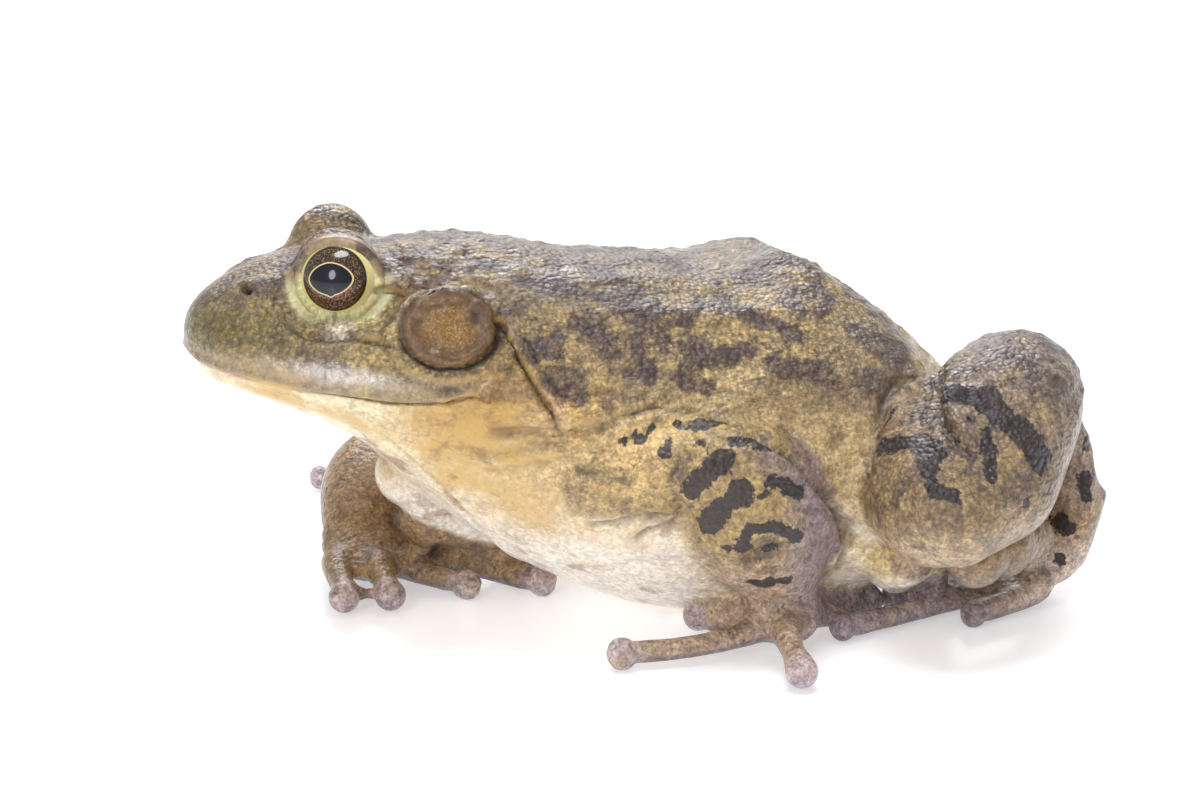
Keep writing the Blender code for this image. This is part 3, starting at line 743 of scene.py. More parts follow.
# %% Folds of the left limbs
stroke(in_body_frame(ELBOW_CREASE), 0.8, -0.9)
stroke(in_body_frame(ARM_RIDGE), 1.1, 0.7)
fold(in_body_frame(ARM_TOP), (0, -0.3, -1), (0.8, 1.3), (1.9, 1.2, 0.7), ends=(0.1, 0.02))
refresh()
fold(in_body_frame(ARM_FRONT), (1, -0.3, 0), (0.95, 1.5), (2.3, 1.7, 0.9), ends=(0.25, 0.05))
fold(in_body_frame(ARM_BACK), (-1, -0.3, 0), (1.1, 1.8), (3.0, 2.0, 1.5), ends=(0.02, 0.1))
fold(in_body_frame(WRIST_CREASE), (1, 0, -1), (0.9, 1.7), (2.2, 1.7, 1.1), ends=(0.1, 0.2))
fold(in_body_frame(FOREARM_EDGE), (-1, 0, 0), (0.8, 0.9), (1.6, 1.2, 0.5), ends=(0.2, 0.2))
fold(in_body_frame(HIP_FOLD), (1, -0.6, 0), (0.95, 1.7), (2.4, 1.8, 0.8), ends=(0.1, 0.1))
fold(in_body_frame(KNEE_CREASE), (1, -0.3, 0.5), (0.95, 1.8), (2.6, 2.0, 1.0), ends=(0.1, 0.15))
refresh()
BACK_HUMPS = [((33, -9, 64), 6, 1.2), ((34, 9, 64), 6, 1.2), ((27, -27, 58), 6, 1.1), ((27, 27, 58), 6, 1.1),
              ((37, -14, 61), 4, 0.9), ((37, 14, 61), 4, 0.9)]       # middle, width, height
THIGH_HUMPS = [((57, -60, 27), 9, 3.4), ((57, 60, 27), 9, 3.4), ((66, -52, 26), 7, 2.0),
               ((66, 52, 26), 7, 2.0)]
for hump, width, height in BACK_HUMPS + THIGH_HUMPS:
    dome(in_body_frame(hump), width, height)
refresh()
print("humps raised:", len(BACK_HUMPS + THIGH_HUMPS))

# %% [markdown]
# A bullfrog's fingers and toes end in small round bulbs. The remesh leaves them lumpy, so points near
# each tip are drawn to a ball of the right radius and then smoothed.

# %% Ends of the fingers and toes
ends = np.zeros(len(points))
for tip, radius in tips:
    far = np.linalg.norm(points - tip, axis=1)
    near = np.flatnonzero(far < radius * 1.6)
    share = 1 - ease(far[near], radius * 1.0, radius * 1.5)
    points[near] = tip + (points[near] - tip) * (1 + (radius / far[near] - 1) * share)[:, None]
    ends[near] = 1
points = smoothed(points, ends, 3)
refresh()
print("digits rounded:", len(tips))

# %% [markdown]
# Small warts cover the back, the hips and the legs, and get fewer down the flanks. Each is a low dome.
# A fixed seed sets them, so the frog comes out the same every time. Last, nothing may pass the floor,
# and what rests on it is a small flat.

# %% Warts, and the flats it rests on
random = np.random.default_rng(7)
up_facing = np.flatnonzero((normals[:, 2] > 0.05) & (points[:, 2] > 16))
behind_eyes = to_head(points[up_facing])[:, 0] < 12
warts = random.choice(up_facing[behind_eyes], 1700, replace=False)
for k, size in zip(warts, random.uniform(0.7, 1.4, len(warts))):
    near = np.flatnonzero(np.abs(points - points[k]).max(1) < size * 2.2)
    far = np.linalg.norm(points[near] - points[k], axis=1)
    points[near] += normals[near] * (0.26 * size * np.exp(-(far / size) ** 2))[:, None]
refresh()
points[:, 2] = np.maximum(points[:, 2], 0.02 * ease(points[:, 2], -2, 0))
refresh()
print("warts:", len(warts), "points on the floor:", int((points[:, 2] < 0.05).sum()))

# %% [markdown]
# The skin's colours are worked out from its shape. Broad colours are laid down as soft washes round
# named places and stored on the points. Markings with a crisp edge are stored as a distance to their
# nearest edge, in millimetres, and the material turns that into a ragged edge with noise. So no marking
# is limited by how fine the mesh is.

# %% Which part of the frog is where
def linear(colour):
    """A screen colour, 0 to 1, in the renderer's linear light."""
    c = np.asarray(colour, float)
    return np.where(c <= 0.04045, c / 12.92, ((c + 0.055) / 1.055) ** 2.4)


OLIVE, BROWN, FLANK = (0.70, 0.60, 0.40), (0.42, 0.34, 0.29), (0.85, 0.75, 0.56)
CREAM, WHITE, GOLD = (0.93, 0.86, 0.74), (0.97, 0.94, 0.90), (0.84, 0.68, 0.40)
TAN, MAUVE, GREEN = (0.66, 0.56, 0.42), (0.60, 0.53, 0.56), (0.47, 0.43, 0.23)
# painted shade for the undersides of the hands and feet
SOLE_SHADE_GREY = (0.50, 0.45, 0.46)


def away_from(wanted):
    """Each skin point's distance to the solids whose names start so, in mm."""
    chosen = np.vstack([p for name, p in node_points.items() if name.startswith(wanted)])
    tree = KDTree(len(chosen))
    for i, place in enumerate(chosen):
        tree.insert(place, i)
    tree.balance()
    return np.array([tree.find(place)[2] for place in points])


ARMS, LEGS = ("upper_arm", "forearm", "palm", "finger"), ("thigh", "shank", "tarsus", "sole", "toe")
from_arm, from_leg = away_from(ARMS), away_from(LEGS)
from_trunk, from_jaw = away_from("trunk"), away_from("lower_jaw")
from_head_part = away_from(("head", "eardrum"))
other = np.minimum(np.minimum(from_trunk, from_head_part), from_jaw)
on_arm = ease(other - from_arm, -2.2, 1.2) * (from_arm < from_leg)
on_leg = ease(other - from_leg, -0.4, 1.2) * (from_leg <= from_arm)
on_head = ease(from_trunk - np.minimum(from_head_part, from_jaw), -3.0, 3.0) * (1 - on_arm) * (1 - on_leg)

body, head = points - BODY_ORIGIN, to_head(points)
print("points on arms, legs, head:", [int((part > 0.5).sum()) for part in (on_arm, on_leg, on_head)])

# %% Trunk: olive above, paler down the flanks, white below
tint = np.tile(linear(OLIVE), (len(points), 1))


def wash(colour, share):
    """Moves the tint towards a colour, by a share for each point."""
    tint[:] += (linear(colour) - tint) * np.clip(share, 0, 1)[:, None]


def around(place, width, frame_places):
    """A share that is whole at a place and fades over a width."""
    return np.exp(-(np.linalg.norm(frame_places - place, axis=1) / width) ** 2)


wash(FLANK, 1 - ease(body[:, 2], 42, 60))
under = ease(-normals[:, 2], 0.0, 0.55)
front_low = ease(36 - body[:, 2], 0, 10) * ease(8 - body[:, 0], 0, 14)
wash(CREAM, np.maximum(under, front_low))
wash(WHITE, np.maximum(ease(-normals[:, 2], 0.3, 0.8), front_low * ease(30 - body[:, 2], 0, 12)) * 0.9)
for flip in (1, -1):
    wash(GOLD, 0.85 * around((-20, -33 * flip, 44), 9, body))
    wash(GOLD, 0.6 * around((-30, -28 * flip, 36), 7, body))
    wash(FLANK, 0.6 * around((12, -38 * flip, 44), 12, body))
    wash(BROWN, 0.55 * around((-8, -33 * flip, 54), 8, body))
    wash(BROWN, 0.35 * around((24, -38 * flip, 42), 8, body))
    wash((0.46, 0.39, 0.36), 0.8 * around((43, -33 * flip, 53), 9, body))
    wash((0.42, 0.35, 0.36), 0.8 * around((38, -39 * flip, 48), 6, body))
    wash((0.50, 0.43, 0.38), 0.6 * around((35, -38 * flip, 46), 7, body))
for flip in (1, -1):
    wash((0.97, 0.89, 0.74), 0.9 * around((-14, -36 * flip, 33), 7, body))
    wash((0.74, 0.60, 0.40), 0.7 * around((-38, -22 * flip, 36), 9, body))
    wash((0.80, 0.66, 0.46), 0.5 * around((-26, -26 * flip, 28), 9, body))
wash((0.47, 0.41, 0.38), 0.65 * ease(body[:, 2], 58, 68))
print("trunk coloured, mean tint", tint.mean(0).round(2))

# %% Legs and arms: tan, mauve where the skin is thin, pale at the tips
wash(TAN, on_leg)
wash(BROWN, on_leg * ease(body[:, 2], 36, 60) * 0.35)
wash(GOLD, on_leg * 0.3 * ease(34 - body[:, 2], 0, 14) * ease(body[:, 2], 8, 20))
wash(WHITE, on_leg * under * ease(body[:, 2], 5, 12) * 0.2)
wash((0.68, 0.60, 0.56), on_leg * ease(body[:, 0], 66, 76) * ease(body[:, 2], 12, 20) * 0.7)
wash((0.66, 0.60, 0.58), on_leg * ease(body[:, 2], 40, 54) * 0.6)
wash((0.84, 0.75, 0.68), on_leg * ease(16 - body[:, 2], 0, 8) * ease(body[:, 0], 48, 66))
wash((0.66, 0.59, 0.58), on_leg * ease(16 - body[:, 2], 0, 8) * ease(66 - body[:, 0], 0, 18))
wash((0.70, 0.60, 0.41), on_arm)
wash((0.90, 0.77, 0.54), on_arm * around((-9, -39, 40), 9, body) * 0.9)
wash((0.76, 0.66, 0.57), on_arm * ease(24 - body[:, 2], 0, 10))
elbow = on_arm * ease(body[:, 0] - 0.35 * np.abs(body[:, 2] - 25), 8, 20) * 0.8
wash((0.64, 0.57, 0.57), 1 - (1 - elbow) ** 2)
# painted shade on the far (right) forearm and hand, darker than the near ones
wash((0.62, 0.50, 0.34), on_arm * ease(body[:, 1], -5, 5) * ease(30 - body[:, 2], 0, 8) * 0.8)
# painted shade under the left thigh, where it meets the foot
wash((0.45, 0.38, 0.32), 0.75 * around((61, -47, 14), 9, body))
# painted shade on the undersides of the hands and feet, next to the floor
sole_shade = np.maximum(on_arm, on_leg) * ease(6.5 - body[:, 2], 0, 4) * under
wash(SOLE_SHADE_GREY, sole_shade)
for tip, radius in tips:
    tip_colour = (0.60, 0.54, 0.58) if tip[0] > BODY_ORIGIN[0] + 25 else (0.80, 0.74, 0.76)
    wash(tip_colour, 0.95 * np.exp(-(np.linalg.norm(points - tip, axis=1) / (radius * 1.25)) ** 4))
print("limbs coloured, mean tint", tint.mean(0).round(2))

# %% Head: brown above, green snout, thick pale lip, white below the mouth
mouth_height = np.interp(head[:, 0], MOUTH[:, 0], MOUTH[:, 2])
above_mouth = head[:, 2] - mouth_height
wash((0.62, 0.53, 0.38), on_head * ease(head[:, 2], 14, 22))
wash(GREEN, on_head * 0.8 * ease(head[:, 0], 22, 34) * ease(19 - head[:, 2], 0, 8))
wash((0.66, 0.57, 0.36), on_head * 0.8 * ease(30 - head[:, 0], 0, 12) * ease(17 - head[:, 2], 0, 5))
lip_high = np.interp(head[:, 0], [-5, 10, 25, 40, 50], [4.5, 6.5, 8.0, 7.5, 4.5])
lip = on_head * ease(above_mouth, -0.3, 0.2) * ease(lip_high - above_mouth, 0, 3)
wash((0.68, 0.60, 0.48), lip * 0.9)
# painted highlight of the wet upper lip, a pale streak above the mouth
painted_lip_highlight = np.exp(-((head[:, 0] - 24) / 9) ** 2) * np.exp(-((above_mouth - 5.0) / 2.0) ** 2)
wash((0.95, 0.92, 0.90), lip * 0.9 * painted_lip_highlight)
below = np.maximum(on_head, around((-33, -18, 40), 14, body) * (1 - on_arm)) * ease(-above_mouth, 0.1, 0.6)
wash((0.95, 0.89, 0.76), below)
wash((0.82, 0.67, 0.39), below * 0.85 * ease(22 - head[:, 0], 0, 16) * ease(above_mouth, -14, -3))
for side in (1, -1):
    mirrored = head * (1, side, 1)
    wash((0.80, 0.73, 0.52), 0.6 * around((13, 23, 13), 4.5, mirrored))
    wash(GOLD, 0.55 * around((6, 20, 22), 5, mirrored))
    wash((0.66, 0.51, 0.28), 0.85 * around((-4, 31, 1), 7.5, mirrored))
    wash((0.80, 0.66, 0.42), 0.6 * around((38, 13, 16), 1.3, mirrored))
# painted shade in the nostril pits
wash((0.09, 0.06, 0.06), in_nostril)
print("head coloured, mean tint", tint.mean(0).round(2))

# %% Lids: brown above, pale yellow at the edge and below, painted shade inside and at their foot
lid = np.zeros(len(points))
for flip in LEFT_AND_RIGHT:
    far, outward, front, top = eye_places(head, flip)
    past = past_opening(outward, front, top)
    here = (far < 12) & (outward > -0.2)
    band = here * ease(past, -0.6, 0.1) * ease(3.2 - past, 0, 1.2) * ease(EYE_RADIUS + 3.4 - far, 0, 1.0)
    wash((0.66, 0.57, 0.44), band)
    wash((0.46, 0.37, 0.33), band * 0.5 * np.exp(-((past - 1.5) / 0.35) ** 2) * ease(top, -0.1, 0.3))
    wash((0.86, 0.84, 0.66), band * ease(-top, -0.15, 0.35) * ease(2.8 - past, 0, 1.0))
    by_the_eye = here * ease(EYE_RADIUS + 2.2 - far, 0, 0.8)
    wash((0.93, 0.90, 0.66), by_the_eye * np.exp(-((past + 0.1) / 0.35) ** 2) * ease(-top, -0.5, 0.1))
    # painted shade on the skin inside the opening, under the eyeball
    wash((0.30, 0.24, 0.22), by_the_eye * ease(-past, 0.35, 0.9))
    # painted shade in the crease where the lid meets the head
    wash((0.45, 0.36, 0.30), here * 0.55 * np.exp(-((past - 3.4) / 0.6) ** 2))
    lid = np.maximum(lid, band)
# a painted wet highlight on the pale skin below each eye
for side in (1, -1):
    wash((0.96, 0.92, 0.84), 0.9 * around((24, 21.5, 13), 2.8, head * (1, side, 1)))
print("lids coloured:", int((lid > 0.5).sum()), "points")

# %% Eardrum: painted shade round the rim and under the fold, brown ring, golden middle
drum_ring = np.full(len(points), 9.0)
for flip in LEFT_AND_RIGHT:
    along, tall, high, ring = drum_places(flip)
    ring = np.where(np.abs(high) < 4.5, ring, 9.0)
    drum_ring = np.minimum(drum_ring, ring)
    # painted shade on the upper rim, under the overhanging fold
    overhang_shade = ease(tall - 0.4 * along, -1, 3) * (ring < 2)
    wash((0.22, 0.16, 0.14), 0.9 * overhang_shade * np.exp(-((ring - 1.12) / 0.09) ** 2))
wash((0.54, 0.43, 0.29), ease(1.08 - drum_ring, 0, 0.1))
wash((0.73, 0.58, 0.32), ease(0.72 - drum_ring, 0, 0.3))
# painted shade in the groove round the drum's rim
wash((0.22, 0.16, 0.14), np.exp(-((drum_ring - 1.05) / 0.07) ** 2) * 0.85)
for side in (1, -1):
    wash((0.26, 0.19, 0.18), 0.95 * around((0, 24.7, 15), 1.7, head * (1, side, 1)))
print("eardrums coloured:", int((drum_ring < 1.08).sum()), "points")

# %% [markdown]
# Light alone doesn't make a fold look deep on wet skin, so painted shade is laid along the bottom of
# each line that a brush followed, and along the mouth. Two short lines with no groove, at the temple and
# on the lip, where there is a scar, are darkened the same way. The distance is measured across the skin,
# since the line itself floats a little above the groove that it made.

# %% Painted shade along the folds and the mouth, and two dark lines
TEMPLE_LINE = [(17.3, 15.2, 24.7), (15.5, 15, 22.6), (13.6, 14.8, 20.9)]
LIP_SCAR = [(26, 24.3, 9.4), (26.3, 24.7, 7), (26.5, 25, 4.3)]
HEAD_LINES = [(UNDER_EYE_CREASE, 0.55, 1.0), (BEHIND_EYE, 0.5, 0.9), (BEHIND_DRUM, 0.5, 1.0),
              (TEMPLE_LINE, 0.45, 0.6), (LIP_SCAR, 0.2, 0.5)]       # line, width in mm, strength
TRUNK_LINES = [(SHOULDER_FOLD, 0.6, 0.5), (NECK_FOLD, 0.5, 0.4), (CHEST_CREASE, 0.5, 0.5),
               (THROAT_CREASE, 0.5, 0.35), (FLANK_CREASES[0], 0.4, 0.5), (FLANK_CREASES[1], 0.35, 0.4),
               *((row, 0.7, 0.75) for row in ARMPIT_FOLDS)]
LIMB_LINES = [(ELBOW_CREASE, 0.5, 0.8), (WRIST_CREASE, 0.5, 0.9), (HIP_FOLD, 0.8, 0.9),
              (KNEE_CREASE, 0.8, 0.75), (ARM_TOP, 0.6, 0.75), (ARM_BACK, 0.9, 0.85),
              (ARM_FRONT, 0.55, 0.6), (FOREARM_EDGE, 0.9, 0.7)]
# painted shade of the folds, and the dark of the two short lines, for each point
crease = np.zeros(len(points))


# paints dark along a line: shade at the bottom of a fold, and the two short lines' own dark
def paint_shade_and_marks(row, width, strength, ends=(0.1, 0.1)):
    near, _, share, away = line_field(laid_on_skin(row), width * 3 + 1)
    across = away - normals[near] * (away * normals[near]).sum(1)[:, None]
    far = np.linalg.norm(across, axis=1)
    crease[near] = np.maximum(crease[near], strength * np.exp(-(far / width) ** 2) * taper(share, ends))


for flip in LEFT_AND_RIGHT:
    for row, width, strength in HEAD_LINES:
        paint_shade_and_marks(from_head(np.asarray(row, float) * flip), width, strength)
paint_shade_and_marks(from_head(MOUTH_ROUND), 0.34, 0.75)
for flip in LEFT_AND_RIGHT:
    for row, width, strength in TRUNK_LINES:
        paint_shade_and_marks(in_body_frame(np.asarray(row, float) * flip), width, strength)
for row, width, strength in LIMB_LINES:
    paint_shade_and_marks(in_body_frame(row), width, strength)
# painted shade in the folds and along the mouth, and the dark of the two short lines
tint[:] += (linear((0.16, 0.12, 0.11)) - tint) * crease[:, None] * 0.85
print("darkened:", int((crease > 0.3).sum()), "points")

# %% Painted highlights and mauve streaks beside the folds
def highlight_and_tint_streak(row, towards, offset, width, colour, share):
    """A soft streak of colour beside a line: a painted highlight on a wet lip of skin, and along the arm's
    back its own mauve.
    """
    near, _, part, away = line_field(laid_on_skin(row), offset + width * 3)
    side = np.sign(away @ np.asarray(towards, float)) * np.linalg.norm(away, axis=1)
    amount = share * np.exp(-((side - offset) / width) ** 2) * taper(part, (0.15, 0.15))
    tint[near] += (linear(colour) - tint[near]) * amount[:, None]


for flip in LEFT_AND_RIGHT:
    backwards = (np.array([-0.75, 0, 0.66]) * flip) @ HEAD_AXES
    # painted highlight on the wet lip of the fold behind each drum
    highlight_and_tint_streak(from_head(np.array(BEHIND_DRUM) * flip), backwards, 1.4, 0.7, (0.84, 0.72, 0.66), 0.6)
highlight_and_tint_streak(in_body_frame(ARM_BACK), (-1, -0.3, 0), 2.6, 2.4, MAUVE, 0.8)
# pale gold along the top of the arm, partly its own gold and partly a painted wet highlight
highlight_and_tint_streak(in_body_frame(ARM_TOP), (0, -0.3, -1), 1.6, 0.8, (0.86, 0.74, 0.52), 0.6)
print("streaked, mean tint", tint.mean(0).round(2))

# %% [markdown]
# A bullfrog's legs are barred with black and its back is blotched with brown. The bars and the larger
# blotches are placed one by one, because they make this frog the one it is, and small ones are left to
# noise. Painting them on the points would blur them to the width of a face. A distance to the edge does
# not blur, since it changes evenly across a face, and the material cuts it off wherever it likes.

# %% Dark spots
# Each spot is a row of places along its middle, and its half width, in mm.
ARM_SPOTS = [([(-3, -46, 34), (2, -48, 40)], 2.1), ([(1, -45, 27), (5, -50, 34)], 2.2),
             ([(5, -51, 32), (8, -52, 33)], 0.7),
             ([(6, -49, 22), (6, -51, 27), (11, -52, 27), (15, -52, 25)], 1.2),
             ([(10, -50, 23), (15, -52, 24)], 0.7), ([(10, -46, 15), (15, -49, 16)], 1.4),
             ([(4, -47, 23)], 1.1), ([(-9, -38, 44)], 1.6), ([(-9, -38, 42)], 1.0),
             ([(-13, -37, 42)], 1.3), ([(-6, -42, 42), (-6, -42, 40)], 1.1), ([(-3, -39, 44)], 1.0),
             ([(-1, -45, 42)], 1.2), ([(0, -42, 44), (4, -42, 44)], 1.2),
             ([(6, -47, 42), (10, -49, 40)], 1.4), ([(10, -51, 35), (15, -51, 33)], 1.4)]
LEG_SPOTS = [([(34, -50, 38), (38, -55, 40), (39, -60, 39)], 2.1), ([(37, -57, 39), (35, -62, 37)], 1.7),
             ([(36, -44, 40), (38, -44, 43)], 1.2), ([(35, -64, 35), (36, -66, 34), (39, -67, 34)], 1.2),
             ([(40, -48, 43)], 0.7), ([(41, -51, 43)], 0.6), ([(45, -59, 45)], 0.7),
             ([(47, -62, 43)], 0.7), ([(42, -61, 41)], 0.6), ([(44, -51, 47), (50, -57, 48)], 2.0),
             ([(50, -57, 48), (51, -61, 45), (54, -64, 42)], 2.5), ([(54, -64, 42), (57, -65, 37)], 2.7),
             ([(46, -64, 42), (45, -67, 36)], 1.4), ([(53, -67, 31)], 1.0), ([(50, -68, 32)], 0.7),
             ([(63, -62, 40)], 0.9), ([(85, -36, 23), (85, -37, 19)], 1.5),
             ([(79, -37, 15), (80, -39, 14)], 1.5), ([(87, -33, 28)], 1.2), ([(77, -41, 9)], 1.2),
             ([(65, -31, 5)], 1.0)]
BACK_SPOTS = [([(-8, -13, 67), (-4, -21, 64)], 2.1), ([(-10, -23, 63), (-7, -26, 62)], 1.4),
              ([(-1, -24, 62), (5, -27, 61)], 1.6), ([(-17, -17, 67), (-16, -20, 65)], 1.7),
              ([(-16, -27, 60), (-11, -31, 56)], 2.2), ([(-5, -26, 62), (-1, -31, 57)], 1.4),
              ([(-6, -31, 57), (-6, -34, 52)], 1.6), ([(9, -25, 61), (15, -27, 60), (19, -28, 58)], 1.8),
              ([(21, -28, 58), (25, -32, 55)], 2.1), ([(29, -22, 61), (35, -24, 60)], 1.8),
              ([(37, -15, 63), (32, -27, 58)], 1.6), ([(5, -31, 57), (5, -34, 54), (14, -34, 54)], 2.1),
              ([(18, -36, 51), (27, -37, 50)], 2.1), ([(-24, -28, 58), (-20, -28, 59)], 1.6),
              ([(-29, -23, 64)], 1.5), ([(-25, -32, 52), (-20, -32, 51)], 1.1),
              ([(0, -36, 50), (5, -37, 49)], 1.2), ([(22, -14, 64), (30, -13, 64)], 1.4),
              ([(-31, -3, 72)], 1.6), ([(-21, -5, 71)], 1.6), ([(-22, -17, 67)], 1.4),
              ([(6, -6, 69), (12, -9, 68)], 1.6), ([(-42, -6, 70), (-39, -9, 70)], 1.2),
              ([(-36, -9, 70), (-33, -12, 69)], 1.2), ([(-31, 0, 72), (-29, -5, 71)], 1.6),
              ([(-28, -11, 70), (-24, -12, 69)], 1.4), ([(-23, -16, 67), (-18, -19, 66)], 1.5),
              ([(-61, 6, 69), (-59, -1, 72)], 1.4), ([(-48, 17, 76)], 1.8), ([(-22, -29, 58)], 2.2),
              ([(-24, -32, 52), (-18, -33, 50)], 1.2)]
FLANK_SPOTS = [([(19, -40, 45)], 2.0), ([(28, -43, 40)], 2.0), ([(20, -45, 37)], 1.6),
               ([(12, -39, 46)], 1.5), ([(31, -38, 46)], 1.6), ([(-14, -34, 48)], 1.2),
               ([(24, -40, 43)], 1.0), ([(16, -42, 40)], 1.1)]
print("spots placed:", len(ARM_SPOTS + LEG_SPOTS + BACK_SPOTS + FLANK_SPOTS))

# %% Distance to the spots' edges
def edge_distance(spots, flips):
    """Each point's distance to the edge of its nearest spot, below nothing inside one."""
    best = np.full(len(points), 9.0)
    for flip in flips:
        for row, half in spots:
            places = np.asarray(row, float) * flip
            row = [body[np.argmin(((body - place) ** 2).sum(1))] for place in places]
            for a, b in zip(row, row[1:] or row):
                t = np.clip((body - a) @ (b - a) / max((b - a) @ (b - a), 1e-9), 0, 1)
                far = np.linalg.norm(body - a - t[:, None] * (b - a), axis=1)
                best = np.minimum(best, far - half)
    return best


arm_spots = edge_distance(ARM_SPOTS, LEFT_AND_RIGHT[:1])
limb_spots = np.minimum(arm_spots, edge_distance(LEG_SPOTS, LEFT_AND_RIGHT))
back_spots = edge_distance(BACK_SPOTS, LEFT_AND_RIGHT)
flank_spots = edge_distance(FLANK_SPOTS, LEFT_AND_RIGHT)
print("spots:", len(ARM_SPOTS + LEG_SPOTS), "on the limbs,", len(BACK_SPOTS + FLANK_SPOTS), "on the trunk")

# %% [markdown]
# The material can read values that are stored on the points, so everything that it needs to know about
# the frog's shape is stored now: the tint, the spots' distances, and shares that say how rough, pale,
# golden, clouded or smooth the skin is.

# %% Store it all on the skin
def keep_on_skin(name, values):
    mesh = skin.data
    if values.ndim == 2:
        layer = mesh.attributes.new(name, "FLOAT_COLOR", "POINT")
        with_alpha = np.column_stack([np.clip(values, 0, 1), np.ones(len(values))])
        layer.data.foreach_set("color", with_alpha.ravel())
    else:
        mesh.attributes.new(name, "FLOAT", "POINT").data.foreach_set("value", values)


back = ease(body[:, 2], 38, 56) * ease(normals[:, 2], -0.3, 0.5) * (1 - on_arm)
back = back * (1 - lid) * ease(drum_ring, 1.0, 1.2)
rough_back = np.clip(back + on_leg * 0.7 * ease(body[:, 2], 18, 34), 0, 1)
keep_on_skin("tint", tint ** 1.12)
keep_on_skin("limb_spots", np.where(np.maximum(on_arm, on_leg) > 0.5, limb_spots, 9.0))
keep_on_skin("back_spots", back_spots)
keep_on_skin("flank_spots", flank_spots)
keep_on_skin("rough_back", rough_back)
pale_here = np.clip(np.maximum(under, np.maximum(front_low, below)) * (1 - on_arm) * (1 - on_leg), 0, 1)
keep_on_skin("pale", pale_here)
keep_on_skin("on_limbs", np.clip(on_arm + on_leg, 0, 1))
snout = on_head * ease(head[:, 0], 18, 32) * ease(19 - head[:, 2], 0, 5)
keep_on_skin("clouded", rough_back * (1 - 0.6 * snout) * (1 - 0.1 * on_head) * (1 - 0.3 * on_leg))
keep_on_skin("golden", np.clip(pale_here * ease(body[:, 2], 14, 34) * ease(20 - body[:, 0], 0, 14), 0, 1))
keep_on_skin("drum", ease(1.08 - drum_ring, 0, 0.1))
keep_on_skin("smooth_parts", np.clip(lid + lip * 0.5, 0, 1))
print("colours set on", len(points), "points")

# %% [markdown]
# The material adds what is finer than the mesh: ragged edges on the spots, brown clouding on the back,
# grains of about a millimetre, fine lines in the pale skin, and a wet coat. The grains go to the bump
# too, so light catches each one, and their colour carries painted light on each top and painted shade
# between them. Everything reads places on the object in metres, so it stays put.

# %% Short names for the nodes
def new_material(name):
    made = bpy.data.materials.new(name)
    made.use_nodes = True
    tree = made.node_tree
    return made, tree, tree.nodes["Principled BSDF"]


class Nodes:
    """Short names for the nodes that this scene uses."""

    def __init__(self, tree):
        self.tree = tree
        self.places = self.add("ShaderNodeTexCoord").outputs["Object"]

    def add(self, kind, **settings):
        node = self.tree.nodes.new(kind)
        for key, value in settings.items():
            setattr(node, key, value)
        return node

    def put(self, socket, value):
        if isinstance(value, bpy.types.NodeSocket):
            self.tree.links.new(value, socket)
        else:
            socket.default_value = value

    def stored(self, name, output="Fac"):
        return self.add("ShaderNodeAttribute", attribute_name=name).outputs[output]

    def math(self, operation, a, b=0.0, c=0.0):
        node = self.add("ShaderNodeMath", operation=operation)
        for socket, value in zip(node.inputs, (a, b, c)):
            self.put(socket, value)
        return node.outputs[0]

    def ramp(self, value, low, high, to_low=0.0, to_high=1.0):
        node = self.add("ShaderNodeMapRange", interpolation_type="SMOOTHSTEP")
        given = {"Value": value, "From Min": low, "From Max": high, "To Min": to_low, "To Max": to_high}
        for name, setting in given.items():
            self.put(node.inputs[name], setting)
        return node.outputs[0]

    def stretched(self, scale):
        node = self.add("ShaderNodeMapping")
        self.put(node.inputs["Vector"], self.places)
        node.inputs["Scale"].default_value = scale
        return node.outputs[0]

    def noise(self, per_metre, detail=3.0, roughness=0.55, places=None):
        node = self.add("ShaderNodeTexNoise")
        self.put(node.inputs["Vector"], places or self.places)
        node.inputs["Scale"].default_value = per_metre
        node.inputs["Detail"].default_value = detail
        node.inputs["Roughness"].default_value = roughness
        return node.outputs[0]

    def cells(self, per_metre, feature="F1", places=None):
        node = self.add("ShaderNodeTexVoronoi", feature=feature)
        self.put(node.inputs["Vector"], places or self.places)
        node.inputs["Scale"].default_value = per_metre
        return node.outputs["Distance"]

    def mix(self, share, a, b, blend="MIX"):
        node = self.add("ShaderNodeMix", data_type="RGBA", blend_type=blend)
        for socket, value in ((node.inputs[0], share), (node.inputs[6], a), (node.inputs[7], b)):
            self.put(socket, value)
        return node.outputs[2]

    def bump(self, height, strength, distance, before=None):
        node = self.add("ShaderNodeBump")
        self.put(node.inputs["Height"], height)
        self.put(node.inputs["Strength"], strength)
        node.inputs["Distance"].default_value = distance
        if before:
            self.put(node.inputs["Normal"], before)
        return node.outputs[0]


def screen(*colour):
    return (*[float(c) for c in linear(colour)], 1.0)


skin_material, tree, shader = new_material("frog skin")
n = Nodes(tree)
print("new material:", skin_material.name)

# %% Clouding and spots
colour = n.stored("tint", "Color")
rough_back, pale, drum = n.stored("rough_back"), n.stored("pale"), n.stored("drum")
smooth_parts, on_limbs = n.stored("smooth_parts"), n.stored("on_limbs")

# the clouds are brown, and long along the body
along = n.stretched((0.75, 1.0, 1.0))
cloud = n.noise(150, 5.0, 0.62, along)
cloud_here = n.math("MULTIPLY", n.ramp(cloud, 0.48, 0.57), n.math("MULTIPLY", n.stored("clouded"), 0.85))
colour = n.mix(cloud_here, colour, screen(0.27, 0.20, 0.19))
light_cloud = n.math("MULTIPLY", n.ramp(n.noise(150, 3.0, 0.6), 0.55, 0.7), 0.35)
colour = n.mix(light_cloud, colour, screen(0.78, 0.67, 0.42))
smudge = n.ramp(n.noise(190, 5.0, 0.68), 0.52, 0.66)
smudge_here = n.math("MULTIPLY", n.math("MULTIPLY", smudge, on_limbs), 0.6)
colour = n.mix(smudge_here, colour, screen(0.34, 0.27, 0.28))

